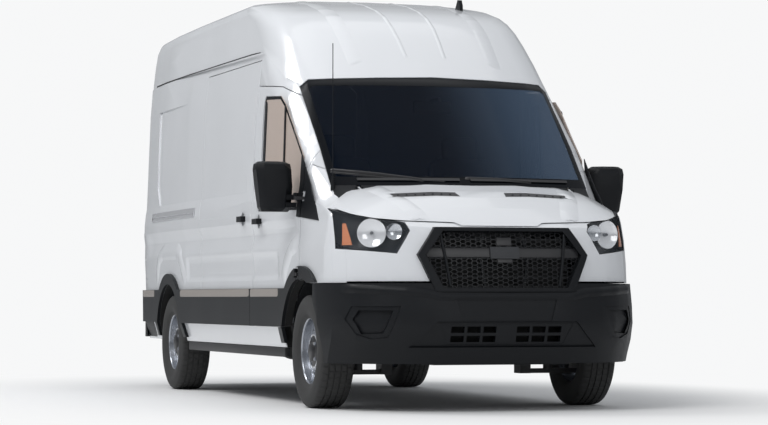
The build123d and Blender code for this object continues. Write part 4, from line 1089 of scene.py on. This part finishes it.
# ------------------------------------------------------------------ sides
@dataclass
class SideDetail:
    """Ledge on the cladding, crests over the arches, handle cups, trims and mirror glass of one side."""

    shop: Shop
    side: Side

    def lay(self, name: str, node: str, line: Sequence[Pair], width: float, height: float, finish: Finish,
            body: str, steps: int, taper: float) -> None:
        """Rib along a (station, height) line on one node of this side.

        Args:
            name: Piece name, without the side.
            node: CAD node that it lies on.
            line: Pairs of station and height in millimetres.
            width: Full width in metres.
            height: Rise in metres.
            finish: Surface finish.
            body: CAD body that it rides on.
            steps: Divisions along.
            taper: Share of the length over which each end runs out.
        """
        way = Vector((-self.side.value, 0, 0))
        bm = Surface(self.shop, node).rib([spot(0, *pair) for pair in line], way, width, height, steps, taper)
        if bm.faces:
            self.shop.piece(f"{name}_{self.side.word}", bm, finish, body, 60.0)

    def ledges(self) -> None:
        """Strip along the top of the cladding, its pale colour a painted highlight of the cladding's upward-facing
        bevel.
        """
        word = self.side.word
        self.lay("ledge_door", f"door_{word}_trim", ((1528, 724), (2240, 724)), 0.056, 0.0030, LEDGE_PAINTED_HIGHLIGHT,
                 f"door_{word}", 24, 0.01)
        for name, start, end in (("ledge_middle", 2262, 4325), ("ledge_tail", 5300, 5840)):
            self.lay(name, "side_mouldings", ((start, 724), (end, 724)), 0.056, 0.0030, LEDGE_PAINTED_HIGHLIGHT, "body", 40, 0.01)

    def crests(self) -> None:
        """Raised crests in the sheet above the wheel arches."""
        word = self.side.word
        self.lay("crest_rear", f"side_{word}", ((4215, 800), (4400, 1000), (4520, 1040), (5030, 1040), (5150, 1000),
                                                (5330, 800)), 0.13, 0.009, WHITE, "body", 70, 0.10)
        self.lay("crest_door", f"door_{word}", ((1120, 1046), (1290, 1010), (1420, 900), (1500, 790)), 0.12, 0.009,
                 WHITE, f"door_{word}", 30, 0.20)

    def cup(self, name: str, node: str, body: str, station: float, height: float) -> None:
        """Oval cup behind a door handle.

        Args:
            name: Piece name, without the side.
            node: CAD node that it sits on.
            body: CAD body that it rides on.
            station: Place of its middle in millimetres.
            height: Height of its middle in millimetres.
        """
        found = Surface(self.shop, node).point(spot(0, station, height), Vector((-self.side.value, 0, 0)))
        if found is None:
            return
        bm = bmesh.new()
        bmesh.ops.create_uvsphere(bm, u_segments=32, v_segments=16, radius=1.0)
        bmesh.ops.scale(bm, vec=(0.004, 0.030, 0.047), verts=bm.verts)
        bmesh.ops.translate(bm, vec=found[0], verts=bm.verts)
        self.shop.piece(f"{name}_cup_{self.side.word}", bm, LAMP_GREY, body, 180.0)

    def trims(self) -> None:
        """Window seal, corner guard behind the rear wheel and rail under the sill."""
        word = self.side.word
        self.lay("window_seal", f"door_{word}_glass", ((2030, 2004), (2052, 1275)), 0.062, 0.0022, FRIT,
                 f"door_{word}", 12, 0.004)
        self.lay("corner_guard", f"side_{word}", ((5455, 458), (5895, 458)), 0.150, 0.004, BLACK, "body", 12, 0.02)
        right, left = sorted((self.side.value * 0.930, self.side.value * 0.968))
        rail = box_mesh((right, NOSE + 1.560, 0.308), (left, NOSE + 4.270, 0.368), 0.006)
        self.shop.piece(f"sill_rail_{word}", rail, CHASSIS, "body")

    def mirror_glass(self) -> None:
        """Rounded glass plate on the back of the mirror."""
        word = self.side.word
        middle_in, half_width, middle_height, half_height, proud = 0.106, 0.080, 1.385, 0.128, 0.0012
        surface = Surface(self.shop, f"mirror_{word}")
        low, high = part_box(f"mirror_{word}")
        outer = high.x if self.side is Side.LEFT else low.x
        bm = bmesh.new()
        bmesh.ops.create_grid(bm, x_segments=12, y_segments=14, size=1.0)
        lost = []
        for vert in bm.verts:
            u, v = vert.co.x, vert.co.y
            rounding = max(abs(u), abs(v)) / max((abs(u) ** 6 + abs(v) ** 6) ** (1 / 6), 1e-6)
            u, v = u * rounding, v * rounding
            x = outer - self.side.value * (middle_in - half_width * u * self.side.value)
            found = surface.point(Vector((x, high.y, middle_height + half_height * v)), -BACKWARDS)
            if found is None:
                lost.append(vert)
                continue
            vert.co = found[0] + BACKWARDS * proud
        bmesh.ops.delete(bm, geom=lost, context="VERTS")
        bm.normal_update()
        bmesh.ops.reverse_faces(bm, faces=[f for f in bm.faces if f.normal.y < 0])
        if bm.faces:
            self.shop.piece(f"mirror_glass_{word}", bm, MIRROR_GLASS, f"door_{word}", 60.0)

    def build(self) -> None:
        """Make this side's details."""
        word = self.side.word
        self.ledges()
        self.crests()
        self.trims()
        self.mirror_glass()
        self.cup("front_handle", f"door_{word}", f"door_{word}", 2043, 1196)
        if self.side is Side.RIGHT:
            self.cup("slide_handle", "sliding_door", "body", 2456, 1222)


# ------------------------------------------------------------------ seats
@dataclass
class Seat:
    """Front seat: moulded base, padded cushion, back and headrest on two posts."""

    shop: Shop
    side: Side
    reach: float = 440.0

    def pad(self, name: str, centre: Point, size: Point, lean: float, finish: Finish, channels: bool = True,
            round_power: float = 7.0) -> bpy.types.Object:
        """Crowned pad with pressed channels.

        Args:
            name: Piece name.
            centre: Middle as x, station and height in millimetres.
            size: Width, thickness and length in millimetres.
            lean: Degrees that it leans back.
            finish: Cloth.
            channels: Whether two channels run along its face.
            round_power: Higher is boxier.

        Returns:
            The pad.
        """
        bm = bmesh.new()
        bmesh.ops.create_cube(bm, size=2.0)
        bmesh.ops.subdivide_edges(bm, edges=bm.edges, cuts=21, use_grid_fill=True)
        channel_place, cross_place, channel_half = 0.58, -0.1, 0.06
        for vert in bm.verts:
            x, y, z = vert.co
            swell = sum(abs(c) ** round_power for c in vert.co) ** (1 / round_power)
            groove = 0.0
            if channels:
                groove = (max(0.0, 1 - abs(abs(x) - channel_place) / channel_half)
                          + 0.8 * max(0.0, 1 - abs(z - cross_place) / channel_half))
            pull = 1 - 0.035 * (1 - z * z) - 0.03 * (1 - x * x)
            vert.co = Vector((x * pull, y * (1.0 + 0.10 * (1 - x * x) * (1 - z * z) - 0.10 * groove), z)) / swell
        bmesh.ops.scale(bm, vec=Vector(size) / 2000, verts=bm.verts)
        bmesh.ops.rotate(bm, cent=(0, 0, 0), matrix=Matrix.Rotation(radians(-lean), 3, "X"), verts=bm.verts)
        bmesh.ops.translate(bm, vec=spot(*centre), verts=bm.verts)
        thing = self.shop.piece(name, bm, finish, "body", 180.0)
        return thing

    def build(self) -> None:
        """Make the seat."""
        x, word = self.side.value * self.reach, self.side.word
        cushion = self.pad(f"seat_cushion_{word}", (x, 1855, 985), (480, 130, 510), 90, CLOTH)
        if self.side is Side.LEFT:
            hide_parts("seats")
        self.pad(f"seat_back_{word}", (x, 2120, 1320), (470, 120, 640), 12, CLOTH)
        self.pad(f"headrest_{word}", (x, 2190, 1700), (260, 84, 180), 12, HEAD_CLOTH, False, 4.0)
        low, high = spot(x - 200, 1650, 693), spot(x + 200, 2080, 922)
        self.shop.piece(f"seat_base_{word}", box_mesh(low, high, 0.02, 3), GREY_PLASTIC, "body")
        posts = [rod(spot(x + off, 2170, 1590), spot(x + off, 2186, 1665), 0.007) for off in (-65, 65)]
        self.shop.piece(f"headrest_posts_{word}", joined(posts), STEEL, "body")


# ------------------------------------------------------------------ studio
@dataclass
class Studio:
    """Floor, lights, backdrop and camera."""

    eye: Point = (-5.592, -18.454, 0.688)
    yaw: float = 0.3015
    pitch: float = 0.0314
    lens: float = 127.88
    backdrop: Point = (0.93, 0.935, 0.94)

    def floor_material(self) -> bpy.types.Material:
        """Pale matt floor that runs out into the backdrop's white for the camera.

        Returns:
            The material.
        """
        material = bpy.data.materials.new("floor_pale")
        material.use_nodes = True
        tree = material.node_tree
        shader = tree.nodes["Principled BSDF"]
        shader.inputs["Base Color"].default_value = (0.85, 0.85, 0.85, 1)
        shader.inputs["Roughness"].default_value = 0.9
        glow = add_node(tree, "Emission", values={"Color": (*self.backdrop, 1)})
        place = add_node(tree, "TexCoord")
        oval = add_node(tree, "VectorMath", {"operation": "MULTIPLY"}, {1: (1.0, 0.6, 1.0)},
                        {0: place.outputs["Object"]})
        reach = add_node(tree, "VectorMath", {"operation": "LENGTH"}, feeds={0: oval.outputs[0]})
        fade = add_node(tree, "MapRange", {"interpolation_type": "SMOOTHSTEP"}, {"From Min": 1.6, "From Max": 3.6},
                        {"Value": reach.outputs["Value"]})
        path = add_node(tree, "LightPath")
        share = add_node(tree, "Math", {"operation": "MULTIPLY"},
                         feeds={0: fade.outputs["Result"], 1: path.outputs["Is Camera Ray"]})
        self.mixed(tree, share, shader, glow, "Material Output")
        return material

    @staticmethod
    def mixed(tree: bpy.types.NodeTree, share: bpy.types.Node, first: bpy.types.Node, second: bpy.types.Node,
              output: str) -> None:
        """Send a mix of two shaders to an output.

        Args:
            tree: Node tree of both.
            share: Node that gives the second one's share.
            first: Shader at a share of 0.
            second: Shader at a share of 1.
            output: Name of the output node.
        """
        mix = add_node(tree, "MixShader", feeds={0: share.outputs[0], 1: first.outputs[0], 2: second.outputs[0]})
        tree.links.new(mix.outputs[0], tree.nodes[output].inputs["Surface"])

    def world(self) -> None:
        """Even studio light, white to the camera and through glass."""
        world = bpy.data.worlds.new("studio")
        bpy.context.scene.world = world
        world.use_nodes = True
        tree = world.node_tree
        sky = tree.nodes["Background"]
        sky.inputs["Color"].default_value = (0.93, 0.96, 1.0, 1)
        course = add_node(tree, "TexCoord")
        parts = add_node(tree, "SeparateXYZ", feeds={0: course.outputs["Generated"]})
        climb = add_node(tree, "MapRange", None, {"From Min": -0.1, "From Max": 0.7, "To Min": 0.20, "To Max": 0.52},
                         {"Value": parts.outputs["Z"]})
        tree.links.new(climb.outputs["Result"], sky.inputs["Strength"])
        pale = add_node(tree, "Background", values={"Color": (*self.backdrop, 1), "Strength": 1.0})
        path = add_node(tree, "LightPath")
        seen = add_node(tree, "Math", {"operation": "MAXIMUM"},
                        feeds={0: path.outputs["Is Camera Ray"], 1: path.outputs["Is Transmission Ray"]})
        self.mixed(tree, seen, sky, pale, "World Output")

    def floor(self) -> None:
        """Plain pale floor under the van."""
        half_size = 60.0
        bm = bmesh.new()
        bmesh.ops.create_grid(bm, x_segments=1, y_segments=1, size=half_size)
        mesh = bpy.data.meshes.new("studio_floor")
        bm.to_mesh(mesh)
        bm.free()
        mesh.materials.append(self.floor_material())
        ground = bpy.data.objects.new("studio_floor", mesh)
        bpy.context.scene.collection.objects.link(ground)

    def lights(self) -> None:
        """Large soft lamps: one over the near front corner, one from the side and a top fill."""
        for name, place, target, size, power in (
                ("key", (-6.5, -6.0, 9.0), (0, -0.3, 1.2), 5.0, 430.0),
                ("side", (-6.5, 3.0, 9.0), (-1.0, 0.8, 1.0), 3.5, 330.0),
                ("front", (1.5, -11.0, 4.0), (0, -2.5, 1.0), 4.0, 70.0),
                ("top", (0.5, 0.5, 9.5), (0, 0.4, 1.0), 7.0, 90.0)):
            lamp = bpy.data.lights.new(name, "AREA")
            lamp.energy = power
            lamp.size = size
            thing = bpy.data.objects.new(name, lamp)
            thing.location = place
            thing.rotation_euler = (Vector(target) - Vector(place)).to_track_quat("-Z", "Y").to_euler()
            bpy.context.scene.collection.objects.link(thing)

    def camera(self) -> None:
        """Camera at the viewing angle of a long lens, low in front of the right corner."""
        lens = bpy.data.cameras.new("view")
        lens.lens = self.lens
        lens.sensor_width = 36.0
        lens.clip_end = 200.0
        thing = bpy.data.objects.new("view", lens)
        thing.location = self.eye
        forward = Vector((sin(self.yaw) * cos(self.pitch), cos(self.yaw) * cos(self.pitch), sin(self.pitch)))
        thing.rotation_euler = forward.to_track_quat("-Z", "Y").to_euler()
        bpy.context.scene.collection.objects.link(thing)
        bpy.context.scene.camera = thing

    def build(self) -> None:
        """Make the whole studio."""
        bpy.context.scene.view_settings.view_transform = "Standard"
        self.world()
        self.floor()
        self.lights()
        self.camera()


# ------------------------------------------------------------------ whole van
@dataclass
class Van:
    """All visual pieces of the van."""

    shop: Shop
    mirror_rounding: float = 0.024
    skinned: tuple[str, ...] = ("roof", "side_left", "side_right", "sliding_door", "door_left", "door_right",
                                "rear_door_left", "rear_door_right", "hood", "fenders", "nose_panel",
                                "front_bumper", "rear_bumper", "side_mouldings", "door_left_trim",
                                "door_right_trim", "mirror_left", "mirror_right", "cowl", "windscreen",
                                "door_left_glass", "door_right_glass", "headlamp_lenses", "hood_vents",
                                "tail_lamps", "grille", "slide_rail", "slide_handle", "dashboard", "wipers",
                                "roof_gutters", "interior_mirror")
    chosen: dict[str, Finish] = field(default_factory=lambda: {
        "door_left_glass": SIDE_GLASS_PAINTED_REFLECTION, "door_right_glass": SIDE_GLASS_PAINTED_REFLECTION, "windscreen": SCREEN, "radiator": DEEP_BLACK,
        "hood_vents": SATIN_BLACK, "roof_gutters": DEEP_BLACK, "interior_mirror": BEZEL, "wipers": SATIN_BLACK})

    def skins(self) -> None:
        """Softly shaded copies of the formed CAD nodes."""
        black_arches = SecondFinish(DEEP_BLACK, in_arch)
        second = {"tail_lamps": SecondFinish(WHITE, looks_sideways), "side_left": black_arches,
                  "side_right": black_arches, "fenders": black_arches, "door_left": black_arches,
                  "door_right": black_arches}
        for name in self.skinned:
            finish = self.chosen.get(name)
            if name.startswith("mirror_"):
                self.shop.skin(name, finish, self.mirror_rounding, 5)
            else:
                self.shop.skin(name, finish, second=second.get(name), even=name != "windscreen")

    def plain_nodes(self) -> None:
        """Finishes on the CAD nodes that stay as they are."""
        for name, thing in self.shop.nodes.items():
            finish = self.chosen.get(name, NODE_FINISH[self.shop.slot_of[name]])
            thing.data.materials.clear()
            thing.data.materials.append(finish.material())

    def build(self) -> None:
        """Make every visual piece."""
        self.plain_nodes()
        self.skins()
        for side in Side:
            for front in (True, False):
                RoadWheel(self.shop, side, front).build()
            Seat(self.shop, side).build()
            SideDetail(self.shop, side).build()
        Glazing(self.shop).build()
        NoseFace(self.shop).build()
        RoofRibs(self.shop).build()
        log.info("pieces made: %d", self.shop.count)


def main() -> None:
    """Load the frame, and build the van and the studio."""
    logging.basicConfig(level=logging.INFO)
    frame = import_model()
    Van(Shop(frame)).build()
    Studio().build()


if __name__ == "__main__":
    main()
